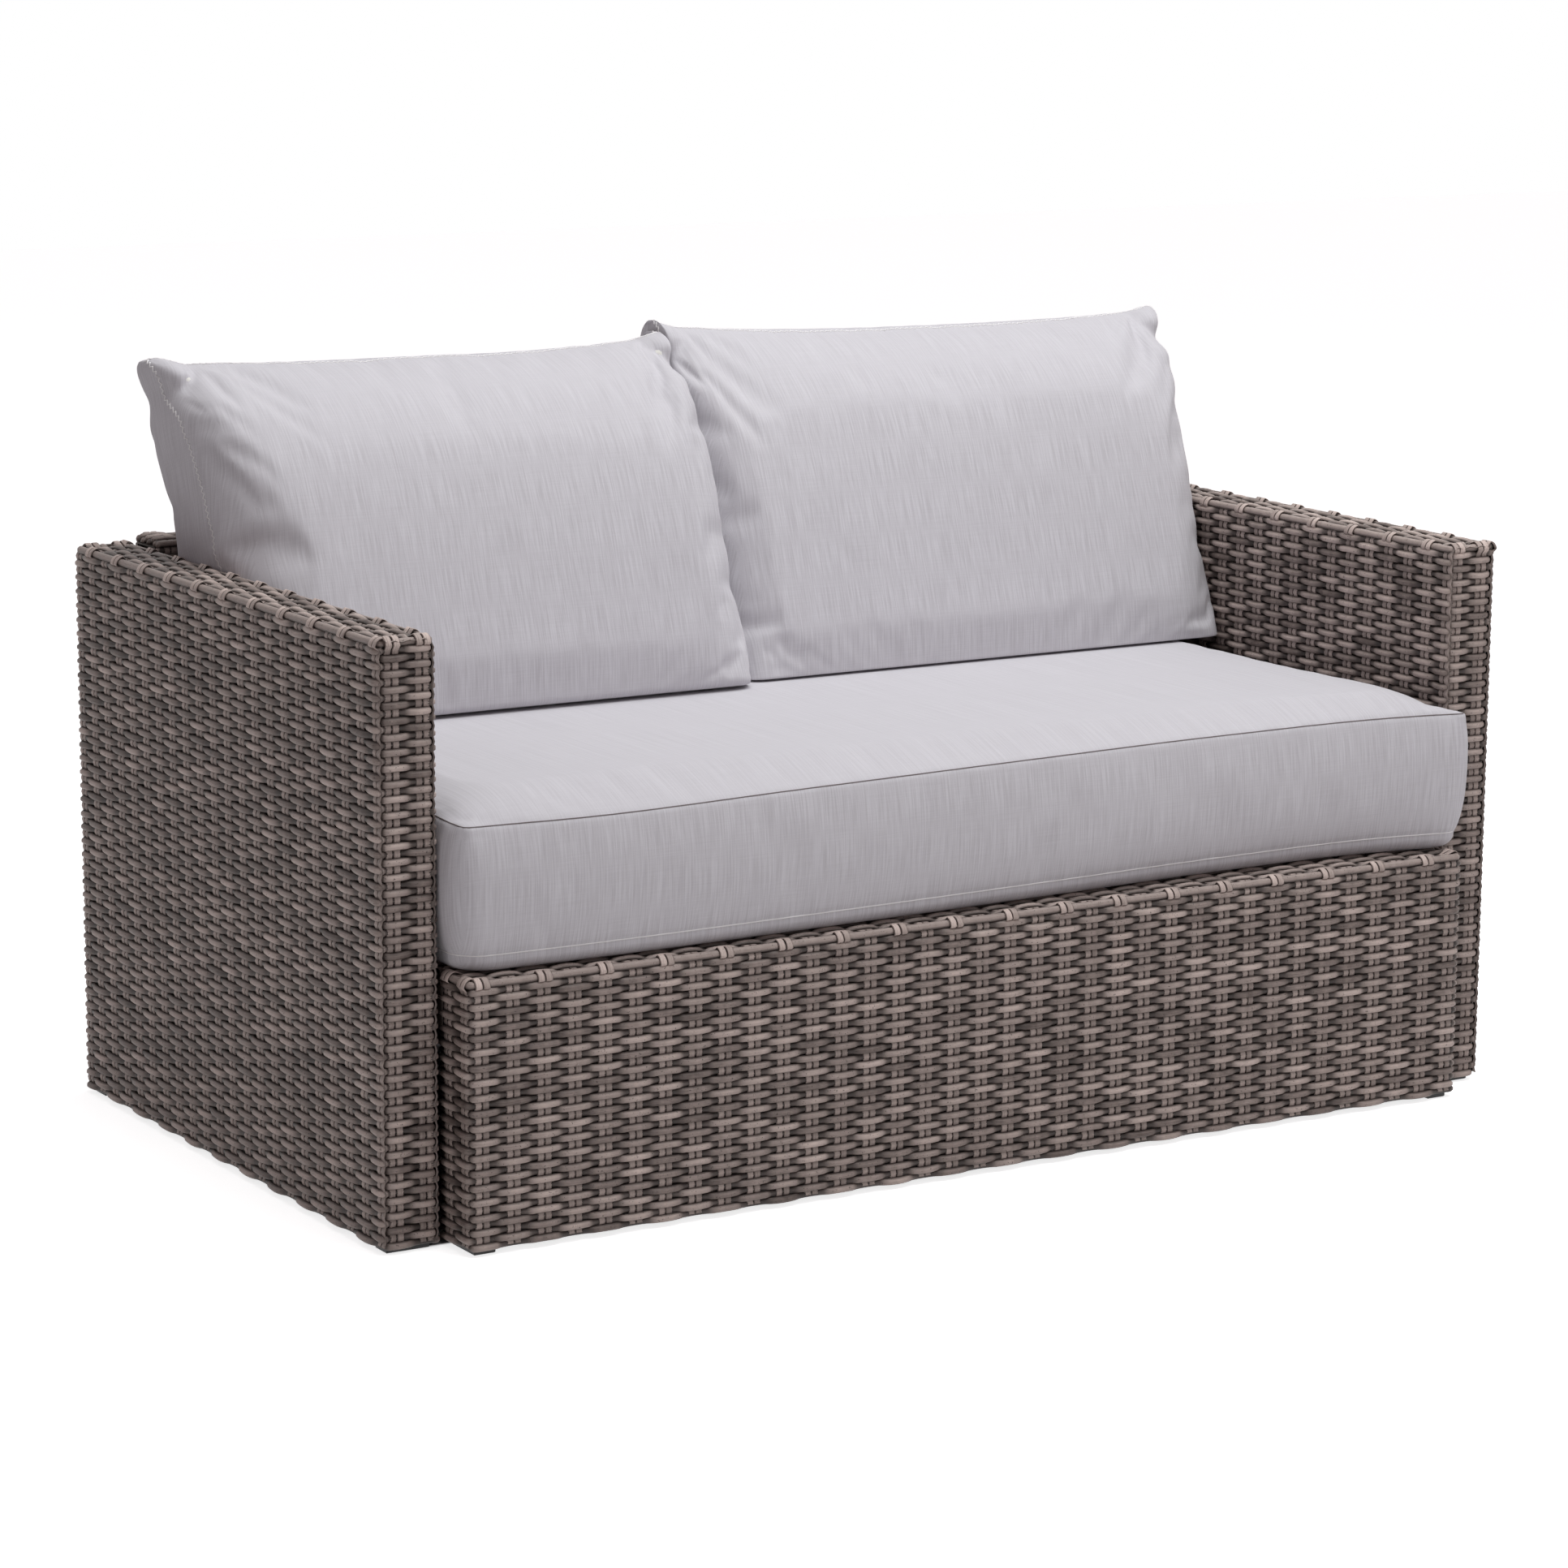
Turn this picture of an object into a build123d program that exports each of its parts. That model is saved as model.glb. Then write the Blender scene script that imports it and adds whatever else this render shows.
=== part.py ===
from build123d import *
from math import cos, radians, sin, tan
import os

# Patio loveseat in woven resin wicker: two woven box arms, a woven apron, a raked woven back,
# a woven seat deck, one bench seat cushion and two loose back cushions.
# Millimetres. X runs to the right seen from the front, the front faces -Y, the floor is z = 0.
# The origin is on the floor, at the middle of the width and of the depth.

# Driving dimensions of the whole seat
overall_width = 1450.0
arm_depth = 775.0
arm_height = 645.0
back_height = 653.0
apron_height = 293.0
apron_projection = 52.0
arm_gap = 6.0
back_rake = radians(15.0)

# Aluminium tube of the frames, and the woven skin round it
tube_wide = 50.0
tube_narrow = 25.0
tube_wall = 1.5
weave_thick = 9.5
weave_edge_radius = 9.0

# Pairs of flat ribs that lie below the strands of the weave, and the plain strand along its edges
rib_pitch = 36.0
rib_pair_wide = 14.0
rib_pair_deep = 2.5
rib_end = 44.0
rib_front_inset = 19.0
border_wide = 14.0

# Plastic glides in the lower tube ends
glide_height = 5.0
glide_plug = 14.0
glide_chamfer = 1.0

# Bolted joints between the seat base, the back and the arms
bolt_diameter = 8.0
bolt_length = 50.0
bolt_head_diameter = 14.0
bolt_head_height = 5.0
bolt_key = 5.0
bolt_key_deep = 2.5
washer_diameter = 20.0
washer_thick = 1.6
spacer_diameter = 22.0
nut_flange_diameter = 16.0
nut_flange_thick = 1.0
nut_barrel_diameter = 11.0
nut_barrel_length = 14.0
bolt_play = 0.3
thread_play = 0.1
seat_bolt_inset = 120.0
back_bolt_low = 110.0
back_bolt_high = 220.0

# Cushions
cover_thick = 1.6
cushion_play = 0.3
arm_play = 1.5
zip_wide = 8.0
zip_margin = 60.0

seat_cushion_overhang = 22.0
seat_cushion_play = 8.0
seat_seam_low = 20.0
seat_seam_high = 161.0
seat_crown = 24.0
seat_bulge = 5.0
seat_edge_roll = 16.0
seat_crown_roll = 210.0
seat_rear_crown_roll = 90.0
seat_corner_radius = 22.0
seat_draw_in = 6.0

back_cushion_height = 390.0
back_cushion_thick_left = 262.0
back_cushion_thick_right = 230.0
back_cushion_rear = 102.0
back_cushion_dip = 60.0
back_cushion_split = -36.0
back_cushion_seam_play = 3.0
back_cushion_flare = 44.0
back_cushion_draw_in = 9.0
back_panel_play = 9.0
side_roll = 80.0
top_roll = 250.0
bottom_roll = 60.0
ear_radius = 22.0
corner_roll = 110.0

# Levels of the seat cushion's crown, from its top seam up: height, inset and corner
seat_crown_level_shares = [(0.0, 0.0), (0.42, 0.09), (0.8, 0.38), (1.0, 1.0)]
# Levels of its lower edge, from the deck up to its lower seam
seat_base_level_shares = [(0.0, 1.0), (0.3, 0.3), (1.0, 0.0)]
# Levels of a back cushion, from its seam out to its face: depth, inset and corner
back_level_shares = [
    (0.0, 0.0, 0.0),
    (0.34, 0.06, 0.4),
    (0.68, 0.24, 0.75),
    (0.9, 0.54, 0.6),
    (1.0, 1.0, 0.2),
]
back_knee_share = 0.47

# Derived sizes and places of the frame
arm_thick = tube_wide + 2 * weave_thick
half_width = overall_width / 2
arm_inner = half_width - arm_thick
seat_half = arm_inner - arm_gap
front_y = -(arm_depth + apron_projection) / 2
rear_y = -front_y
arm_front_y = front_y + apron_projection
base_z = glide_height
tube_base_z = base_z + weave_thick
arm_tube_inner = arm_inner + weave_thick
arm_tube_outer = half_width - weave_thick
apron_rear_y = front_y + arm_thick
deck_under_z = apron_height - weave_thick
seat_rail_z = deck_under_z - tube_wide
bolt_z = deck_under_z - tube_wide / 2
back_front_y = rear_y - arm_thick
back_top_z = back_height - weave_thick
lip_z = back_top_z - tube_narrow
panel_foot_y = back_front_y - (lip_z - apron_height) * tan(back_rake)
strut_foot_y = panel_foot_y + weave_thick - weave_thick * tan(back_rake)
side_rail_inner = seat_half - tube_narrow
cut = weave_thick


def block(x_low, x_high, y_low, y_high, z_low, z_high):
    """A box between two corners."""
    size = Box(x_high - x_low, y_high - y_low, z_high - z_low)
    return Pos((x_low + x_high) / 2, (y_low + y_high) / 2, (z_low + z_high) / 2) * size


def tube(x, y, z, run):
    """A rectangular tube, open at the ends of its run along X, Y or Z."""
    bore = []
    for axis, (low, high) in zip("XYZ", (x, y, z)):
        bore += [low, high] if axis == run else [low + tube_wall, high - tube_wall]
    return block(*x, *y, *z) - block(*bore)


def rod(x_low, x_high, y, z, diameter):
    """A round bar along X between two places."""
    bar = Cylinder(diameter / 2, x_high - x_low)
    return Pos((x_low + x_high) / 2, y, z) * Rot(0, 90, 0) * bar


def mirrored(shape):
    """The same shape on the other side of the middle."""
    return mirror(shape, about=Plane.YZ)


def save(name, *solids):
    """Writes one node, as one solid or as a group of separate ones."""
    shape = solids[0] if len(solids) == 1 else Compound(children=list(solids))
    export_step(shape, "parts/" + name + ".step")


def on_side(side, shape):
    """Parts are drawn on the right and turned over for the left."""
    return shape if side == "right" else mirrored(shape)


# Places of the bolts on the right side: the seat's side rail and the back's upright
seat_bolt_places = [
    (apron_rear_y + seat_bolt_inset, bolt_z),
    (panel_foot_y - seat_bolt_inset, bolt_z),
]
rear_post_y = rear_y - weave_thick - tube_narrow / 2
back_bolt_places = [(rear_post_y, back_bolt_low), (rear_post_y, back_bolt_high)]
bolt_places = seat_bolt_places + back_bolt_places
nut_face = arm_tube_inner - nut_flange_thick


def holes(x_low, x_high, places, diameter):
    """The drillings through one wall for a row of bolts."""
    return [rod(x_low, x_high, y, z, diameter) for y, z in places]


def glide(x, y, x_size, y_size):
    """A plastic foot: a plate under the weave and a plug up into the open tube end."""
    plate = block(x - x_size / 2, x + x_size / 2, y - y_size / 2, y + y_size / 2, 0, base_z)
    plate = chamfer(plate.faces().sort_by(Axis.Z)[0].edges(), glide_chamfer)
    plug_x = x_size / 2 - tube_wall
    plug_y = y_size / 2 - tube_wall
    top = tube_base_z + glide_plug
    return plate + block(x - plug_x, x + plug_x, y - plug_y, y + plug_y, base_z, top)


def glide_hole(x, y, x_size, y_size):
    """The hole that the foot's plug leaves in the woven skin."""
    plug_x = x_size / 2 - tube_wall
    plug_y = y_size / 2 - tube_wall
    return block(x - plug_x, x + plug_x, y - plug_y, y + plug_y, base_z - cut, tube_base_z)


def rib_spans(low, high):
    """The widths of the rib pairs, evenly spaced between the two ends of a face."""
    first, last = low + rib_end, high - rib_end
    steps = round((last - first) / rib_pitch)
    places = [first + (last - first) * i / steps for i in range(steps + 1)]
    return [(place - rib_pair_wide / 2, place + rib_pair_wide / 2) for place in places]


# Arms: a tube frame inside a woven skin that is closed all round
arm_x = (arm_tube_inner, arm_tube_outer)
arm_mid_x = (arm_tube_inner + arm_tube_outer) / 2
arm_tube_front = arm_front_y + weave_thick
arm_tube_rear = rear_y - weave_thick
arm_post_gap = (arm_tube_front + tube_narrow, arm_tube_rear - tube_narrow)
arm_top_rail_z = arm_height - weave_thick - tube_narrow
arm_front_post_y = arm_tube_front + tube_narrow / 2
arm_foot_places = [(arm_mid_x, arm_front_post_y), (arm_mid_x, rear_post_y)]


def arm_weave():
    """The woven skin of the right arm."""
    outer = block(arm_inner, half_width, arm_front_y, rear_y, base_z, arm_height)
    rounded = outer.edges().filter_by(Axis.Z) + outer.faces().sort_by(Axis.Z)[-1].edges()
    outer = fillet(rounded, weave_edge_radius)
    inner_y = (arm_tube_front, arm_tube_rear)
    outer -= block(*arm_x, *inner_y, tube_base_z, arm_height - weave_thick)
    for x, y in arm_foot_places:
        outer -= glide_hole(x, y, tube_wide, tube_narrow)
    for hole in holes(arm_inner - cut, arm_tube_inner, bolt_places, spacer_diameter):
        outer -= hole
    side_z = (base_z + border_wide, arm_height - border_wide)
    inner_z = (apron_height + border_wide, arm_height - border_wide)
    top_x = (arm_inner + border_wide, half_width - border_wide)
    ribs = []
    for y in rib_spans(arm_front_y, rear_y):
        ribs.append(block(half_width - rib_pair_deep, half_width + cut, *y, *side_z))
        ribs.append(block(arm_inner - cut, arm_inner + rib_pair_deep, *y, *inner_z))
        ribs.append(block(*top_x, *y, arm_height - rib_pair_deep, arm_height + cut))
    for x in (arm_inner + rib_front_inset, half_width - rib_front_inset):
        rib_x = (x - rib_pair_wide / 2, x + rib_pair_wide / 2)
        ribs.append(block(*rib_x, arm_front_y - cut, arm_front_y + rib_pair_deep, *side_z))
    return outer - ribs


def make_arm(side):
    """One arm's posts, rails, weave and feet."""
    post_z = (tube_base_z, arm_top_rail_z)
    front_post = tube(arm_x, (arm_tube_front, arm_post_gap[0]), post_z, "Z")
    rear_post = tube(arm_x, (arm_post_gap[1], arm_tube_rear), post_z, "Z")
    nut_hole = nut_barrel_diameter + thread_play
    for hole in holes(arm_tube_inner - cut, arm_mid_x, back_bolt_places, nut_hole):
        rear_post -= hole
    top_z = (arm_top_rail_z, arm_height - weave_thick)
    top_rail = tube(arm_x, (arm_tube_front, arm_tube_rear), top_z, "Y")
    bottom_rail = tube(arm_x, arm_post_gap, (tube_base_z, tube_base_z + tube_narrow), "Y")
    middle_z = (bolt_z - tube_narrow / 2, bolt_z + tube_narrow / 2)
    seat_rail = tube(arm_x, arm_post_gap, middle_z, "Y")
    for hole in holes(arm_tube_inner - cut, arm_mid_x, seat_bolt_places, nut_hole):
        seat_rail -= hole
    pieces = {
        "front_post": front_post,
        "rear_post": rear_post,
        "top_rail": top_rail,
        "bottom_rail": bottom_rail,
        "seat_rail": seat_rail,
        "wicker": arm_weave(),
    }
    for name, piece in pieces.items():
        save(side + "_arm_" + name, on_side(side, piece))
    feet = [glide(x, y, tube_wide, tube_narrow) for x, y in arm_foot_places]
    save(side + "_arm_glides", *[on_side(side, foot) for foot in feet])


# Seat base: apron box at the front, rails and cross bars under a woven deck
apron_tube_y = (front_y + weave_thick, apron_rear_y - weave_thick)
apron_tube_half = seat_half - weave_thick
apron_post_x = apron_tube_half - tube_narrow / 2
apron_post_y = (apron_tube_y[0] + apron_tube_y[1]) / 2
front_rail_z = (deck_under_z - tube_narrow, deck_under_z)
crossbar_x = side_rail_inner / 3


def make_apron():
    """The woven apron and the tube frame inside it."""
    outer = block(-seat_half, seat_half, front_y, apron_rear_y, base_z, apron_height)
    front_face = outer.faces().sort_by(Axis.Y)[0]
    corners = front_face.edges().filter_by(Axis.Z) + front_face.edges().sort_by(Axis.Z)[-1:]
    outer = fillet(corners, weave_edge_radius)
    inner_x = (-apron_tube_half, apron_tube_half)
    outer -= block(*inner_x, *apron_tube_y, tube_base_z, deck_under_z)
    reach = seat_half + cut
    outer -= block(-reach, reach, apron_tube_y[1], apron_rear_y + cut, seat_rail_z, deck_under_z)
    feet = []
    for x in (-apron_post_x, apron_post_x):
        outer -= glide_hole(x, apron_post_y, tube_narrow, tube_wide)
        feet.append(glide(x, apron_post_y, tube_narrow, tube_wide))
    rib_z = (base_z + border_wide, apron_height - border_wide)
    ribs = []
    for x in rib_spans(-seat_half, seat_half):
        ribs.append(block(*x, front_y - cut, front_y + rib_pair_deep, *rib_z))
    save("apron_wicker", outer - ribs)
    save("apron_glides", *feet)
    rail_top = tube_base_z + tube_narrow
    post_gap = apron_post_x - tube_narrow / 2
    for name, x, foot_z in (
        ("left", -apron_post_x, tube_base_z),
        ("centre", 0, rail_top),
        ("right", apron_post_x, tube_base_z),
    ):
        post_x = (x - tube_narrow / 2, x + tube_narrow / 2)
        post = tube(post_x, apron_tube_y, (foot_z, front_rail_z[0]), "Z")
        save("apron_" + name + "_post", post)
    save("apron_bottom_rail", tube((-post_gap, post_gap), apron_tube_y, (tube_base_z, rail_top), "X"))
    save("seat_front_rail", tube(inner_x, apron_tube_y, front_rail_z, "X"))


def make_seat_base():
    """Side rails, rear rail, cross bars and the woven deck."""
    side_y = (apron_tube_y[1], rear_y - weave_thick - tube_wide)
    side_z = (seat_rail_z, deck_under_z)
    side_rail = tube((side_rail_inner, seat_half), side_y, side_z, "Y")
    for hole in holes(side_rail_inner - cut, seat_half + cut, seat_bolt_places, bolt_diameter + bolt_play):
        side_rail -= hole
    for side in ("left", "right"):
        save("seat_" + side + "_rail", on_side(side, side_rail))
        bar_x = (crossbar_x - tube_narrow / 2, crossbar_x + tube_narrow / 2)
        bar = tube(bar_x, (apron_tube_y[1], strut_foot_y), front_rail_z, "Y")
        save("seat_" + side + "_crossbar", on_side(side, bar))
    rear_y_span = (strut_foot_y, strut_foot_y + tube_narrow)
    save("seat_rear_rail", tube((-side_rail_inner, side_rail_inner), rear_y_span, side_z, "X"))
    deck = block(-seat_half, seat_half, apron_rear_y, strut_foot_y, deck_under_z, apron_height)
    save("seat_deck", deck)


# Back: upright tubes, a woven rear skin and a raked woven inner panel on struts
back_tube_y = (back_front_y + weave_thick, rear_y - weave_thick)
back_tube_mid_y = (back_tube_y[0] + back_tube_y[1]) / 2
upright_x = seat_half - tube_narrow / 2
strut_x = side_rail_inner - tube_narrow / 2


def extruded_section(points, x_low, x_high):
    """A closed outline in Y and Z, drawn out along X."""
    outline = Polyline(*[(x_low, y, z) for y, z in points], close=True)
    return extrude(make_face(outline), amount=x_high - x_low, dir=(1, 0, 0))


def make_back_weave():
    """The rear woven skin, wrapped over the top rail and under the bottom rail."""
    skin = block(-seat_half, seat_half, back_front_y, rear_y, base_z, back_height)
    skin = fillet(skin.faces().sort_by(Axis.Z)[-1].edges().filter_by(Axis.X), weave_edge_radius)
    reach = seat_half + cut
    skin -= block(-reach, reach, *back_tube_y, tube_base_z, back_top_z)
    wrap_top = tube_base_z + tube_narrow
    skin -= block(-reach, reach, back_front_y - cut, back_tube_y[0], wrap_top, lip_z)
    feet = []
    for x in (-upright_x, upright_x):
        skin -= glide_hole(x, back_tube_mid_y, tube_narrow, tube_wide)
        feet.append(glide(x, back_tube_mid_y, tube_narrow, tube_wide))
    rib_z = (base_z + border_wide, back_height - border_wide)
    ribs = []
    for x in rib_spans(-seat_half, seat_half):
        ribs.append(block(*x, rear_y - rib_pair_deep, rear_y + cut, *rib_z))
    save("back_outer_wicker", skin - ribs)
    save("back_glides", *feet)
    panel = [
        (panel_foot_y, apron_height),
        (panel_foot_y + weave_thick, apron_height),
        (back_front_y + weave_thick, lip_z),
        (back_front_y, lip_z),
    ]
    save("back_inner_wicker", extruded_section(panel, -seat_half, seat_half))


def strut(x):
    """A raked tube behind the inner panel, from the rear seat rail to the top rail."""
    lean = (lip_z - deck_under_z) * tan(back_rake)
    foot = strut_foot_y
    outline = [
        (foot, deck_under_z),
        (foot + tube_narrow, deck_under_z),
        (foot + tube_narrow + lean, lip_z),
        (foot + lean, lip_z),
    ]
    bore = [
        (foot + tube_wall, deck_under_z),
        (foot + tube_narrow - tube_wall, deck_under_z),
        (foot + tube_narrow - tube_wall + lean, lip_z),
        (foot + tube_wall + lean, lip_z),
    ]
    half = tube_narrow / 2
    solid = extruded_section(outline, x - half, x + half)
    return solid - extruded_section(bore, x - half + tube_wall, x + half - tube_wall)


def make_back_frame():
    """Uprights, rails and raked struts of the back."""
    upright_z = (tube_base_z, lip_z)
    upright = tube((side_rail_inner, seat_half), back_tube_y, upright_z, "Z")
    for hole in holes(side_rail_inner - cut, seat_half + cut, back_bolt_places, bolt_diameter + bolt_play):
        upright -= hole
    for side in ("left", "right"):
        save("back_" + side + "_upright", on_side(side, upright))
        save("back_" + side + "_strut", on_side(side, strut(strut_x)))
    rail_top = tube_base_z + tube_narrow
    middle = (-tube_narrow / 2, tube_narrow / 2)
    save("back_centre_upright", tube(middle, back_tube_y, (rail_top, lip_z), "Z"))
    save("back_centre_strut", strut(tube_narrow))
    save("back_top_rail", tube((-seat_half, seat_half), back_tube_y, (lip_z, back_top_z), "X"))
    between = (-side_rail_inner, side_rail_inner)
    save("back_bottom_rail", tube(between, back_tube_y, (tube_base_z, rail_top), "X"))


# Fasteners, each kind as one group of equal solids
def bolt(y, z):
    """A button-headed bolt from inside the seat base out into the arm's rivet nut."""
    seat = side_rail_inner - washer_thick
    head = rod(seat - bolt_head_height, seat, y, z, bolt_head_diameter)
    head = fillet(head.faces().sort_by(Axis.X)[0].edges(), bolt_head_height / 2)
    key = extrude(RegularPolygon(bolt_key / 2, 6, major_radius=False), bolt_key_deep)
    head -= Pos(seat - bolt_head_height, y, z) * Rot(0, 90, 0) * key
    return head + rod(seat, seat + bolt_length, y, z, bolt_diameter)


def washer(y, z):
    """A flat washer under the bolt head."""
    low = side_rail_inner - washer_thick
    bore = bolt_diameter + bolt_play
    ring = rod(low, side_rail_inner, y, z, washer_diameter)
    return ring - rod(low, side_rail_inner, y, z, bore)


def spacer(y, z):
    """A plastic bush through the arm's weave, which sets the gap to the arm."""
    bore = bolt_diameter + bolt_play
    bush = rod(seat_half, nut_face, y, z, spacer_diameter)
    return bush - rod(seat_half, nut_face, y, z, bore)


def rivet_nut(y, z):
    """The flanged nut set in the arm's tube wall."""
    flange = rod(nut_face, arm_tube_inner, y, z, nut_flange_diameter)
    barrel_end = arm_tube_inner + nut_barrel_length
    barrel = rod(arm_tube_inner, barrel_end, y, z, nut_barrel_diameter)
    return flange + barrel - rod(nut_face, barrel_end, y, z, bolt_diameter + thread_play)


def make_fasteners():
    """Four bolted joints on each side."""
    kinds = {
        "assembly_bolts": bolt,
        "bolt_washers": washer,
        "arm_spacers": spacer,
        "rivet_nuts": rivet_nut,
    }
    for name, make in kinds.items():
        right = [make(y, z) for y, z in bolt_places]
        save(name, *right, *[mirrored(solid) for solid in right])


# Cushions
def bowed_loop(corners, radii, bows):
    """A closed outline with rounded corners, whose sides bow inwards between them."""
    count = len(corners)
    starts = []
    ends = []
    edges = []
    for place in range(count):
        here = Vector(*corners[place])
        back = (Vector(*corners[place - 1]) - here).normalized()
        ahead = (Vector(*corners[(place + 1) % count]) - here).normalized()
        starts.append(here + back * radii[place])
        ends.append(here + ahead * radii[place])
        if radii[place]:
            half_turn = (back + ahead).length / 2
            depth = radii[place] * (1 - (1 - half_turn**2) ** 0.5) / half_turn
            middle = here + (back + ahead).normalized() * depth
            edges.append(ThreePointArc(starts[place], middle, ends[place]))
    for place in range(count):
        low, high = ends[place], starts[(place + 1) % count]
        along = (high - low).normalized()
        inward = Vector(-along.Y, along.X)
        edges.append(ThreePointArc(low, (low + high) / 2 + inward * bows[place], high))
    return make_face(Curve() + edges)


seat_floor_z = apron_height + cushion_play
seat_low_z = apron_height + seat_seam_low
seat_high_z = apron_height + seat_seam_high
seat_top_z = seat_high_z + seat_crown
seat_front_y = front_y + seat_cushion_overhang
seat_rear_y = panel_foot_y - cushion_play
seat_cushion_half = arm_inner - seat_cushion_play


def seat_outline(z, inset, corner, rear_inset):
    """One level of the seat cushion, whose rear side is drawn in on its own."""
    x = seat_cushion_half - inset
    front = seat_front_y + inset
    rear = seat_rear_y - rear_inset
    corners = [(-x, front), (x, front), (x, rear), (-x, rear)]
    bows = [seat_draw_in / 2, seat_draw_in, seat_draw_in / 2, seat_draw_in]
    return Plane.XY.offset(z) * bowed_loop(corners, [corner] * 4, bows)


def seat_form(skin):
    """The boxed cushion: rolled lower edge, bulged boxing, crowned top."""
    low = []
    for height_share, inset_share in seat_base_level_shares:
        z = seat_floor_z + skin + height_share * (seat_low_z - seat_floor_z - skin)
        inset = skin + seat_edge_roll * inset_share
        low.append(seat_outline(z, inset, seat_corner_radius, inset))
    boxing = []
    for z, bulge in (
        (seat_low_z, 0),
        ((seat_low_z + seat_high_z) / 2, seat_bulge),
        (seat_high_z, 0),
    ):
        boxing.append(seat_outline(z, skin - bulge, seat_corner_radius, skin))
    crown = []
    for height_share, inset_share in seat_crown_level_shares:
        z = seat_high_z + height_share * (seat_crown - skin)
        inset = skin + seat_crown_roll * inset_share
        corner = seat_corner_radius + seat_edge_roll * inset_share
        rear_inset = skin + seat_rear_crown_roll * inset_share
        crown.append(seat_outline(z, inset, corner, rear_inset))
    return loft(low) + loft(boxing) + loft(crown)


def make_seat_cushion():
    """Cover, foam and zip of the seat cushion."""
    cover = seat_form(0) - seat_form(cover_thick)
    zip_x = seat_cushion_half - zip_margin - seat_corner_radius
    zip_z = (seat_low_z + seat_high_z) / 2
    zip_y = (seat_rear_y - cover_thick - seat_draw_in, seat_rear_y)
    slot = block(-zip_x, zip_x, *zip_y, zip_z - zip_wide / 2, zip_z + zip_wide / 2)
    tape = cover & slot
    save("seat_cushion_cover", cover - slot)
    save("seat_cushion_foam", seat_form(cover_thick))
    save("seat_cushion_zip", tape)


back_foot_z = seat_top_z + cushion_play
back_foot_y = panel_foot_y + (back_foot_z - apron_height) * tan(back_rake)
back_plane = Plane(
    origin=(0, back_foot_y, back_foot_z),
    x_dir=(1, 0, 0),
    z_dir=(0, -cos(back_rake), sin(back_rake)),
)
back_outer_x = arm_inner - arm_play
back_seam_level = back_panel_play + back_cushion_rear
back_front_levels = {
    "left": back_panel_play + back_cushion_thick_left,
    "right": back_panel_play + back_cushion_thick_right,
}


def back_outline(side, level, skin, depth_share, share, corner_share):
    """One level of a back cushion, level being its distance from the back panel."""
    sign = 1 if side == "right" else -1
    low = -back_cushion_dip + skin + bottom_roll * share
    high = back_cushion_height - skin - top_roll * share
    inset = skin + side_roll * share
    inner = back_cushion_split * sign + back_cushion_seam_play / 2 + inset
    outer = back_outer_x - inset
    ear = outer + back_cushion_flare * (1 - depth_share)
    knee = low + back_knee_share * (high - low)
    corner = ear_radius + corner_roll * corner_share
    corners = [(inner, low), (outer, low), (outer, knee), (ear, high), (inner, high)]
    draw = back_cushion_draw_in
    shallow = back_cushion_seam_play / 3
    bows = [shallow, shallow, draw / 3, draw, shallow]
    radii = [corner, corner, 0, corner, corner]
    outline = bowed_loop(corners, radii, bows)
    if sign < 0:
        outline = mirror(outline, about=Plane.YZ)
    return back_plane.offset(level) * outline


def back_form(side, skin):
    """A knife-edged pillow: a rear and a front half that meet at the seam."""
    halves = []
    for far_level in (back_panel_play + skin, back_front_levels[side] - skin):
        sections = []
        for shares in back_level_shares:
            level = back_seam_level + shares[0] * (far_level - back_seam_level)
            sections.append(back_outline(side, level, skin, *shares))
        halves.append(loft(sections))
    pillow = halves[0] + halves[1]
    reach = overall_width
    under = back_foot_z + skin
    return pillow - block(-reach, reach, -reach, reach, under - reach, under)


def make_back_cushion(side):
    """Cover, fibre fill and zip of one back cushion."""
    sign = 1 if side == "right" else -1
    cover = back_form(side, 0) - back_form(side, cover_thick)
    inner = back_cushion_split + zip_margin * sign
    outer = back_outer_x * sign - zip_margin * sign
    zip_x = (min(inner, outer), max(inner, outer))
    zip_y = back_foot_y - back_seam_level
    zip_z = (back_foot_z, back_foot_z + cover_thick)
    slot = block(*zip_x, zip_y - zip_wide / 2, zip_y + zip_wide / 2, *zip_z)
    save(side + "_back_cushion_cover", cover - slot)
    save(side + "_back_cushion_fill", back_form(side, cover_thick))
    save(side + "_back_cushion_zip", cover & slot)


os.makedirs("parts", exist_ok=True)
for arm_side in ("left", "right"):
    make_arm(arm_side)
make_apron()
make_seat_base()
make_back_weave()
make_back_frame()
make_fasteners()
make_seat_cushion()
for cushion_side in ("left", "right"):
    make_back_cushion(cushion_side)
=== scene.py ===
import math

import bpy
import numpy as np
from mathutils import Matrix, Vector
from mathutils.bvhtree import BVHTree


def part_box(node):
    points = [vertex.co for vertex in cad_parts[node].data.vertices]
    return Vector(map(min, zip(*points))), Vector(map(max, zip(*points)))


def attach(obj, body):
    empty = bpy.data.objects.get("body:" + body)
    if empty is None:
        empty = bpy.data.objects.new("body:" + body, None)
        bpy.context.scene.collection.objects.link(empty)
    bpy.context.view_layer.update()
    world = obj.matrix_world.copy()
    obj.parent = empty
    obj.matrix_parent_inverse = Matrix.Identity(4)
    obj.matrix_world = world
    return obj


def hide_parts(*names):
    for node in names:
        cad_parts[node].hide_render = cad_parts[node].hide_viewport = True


# Patio loveseat: resin wicker strand by strand over a tube frame, and three padded cushions.
# Metres. X runs to the right seen from the front, the front faces -Y, the floor is z = 0.

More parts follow.
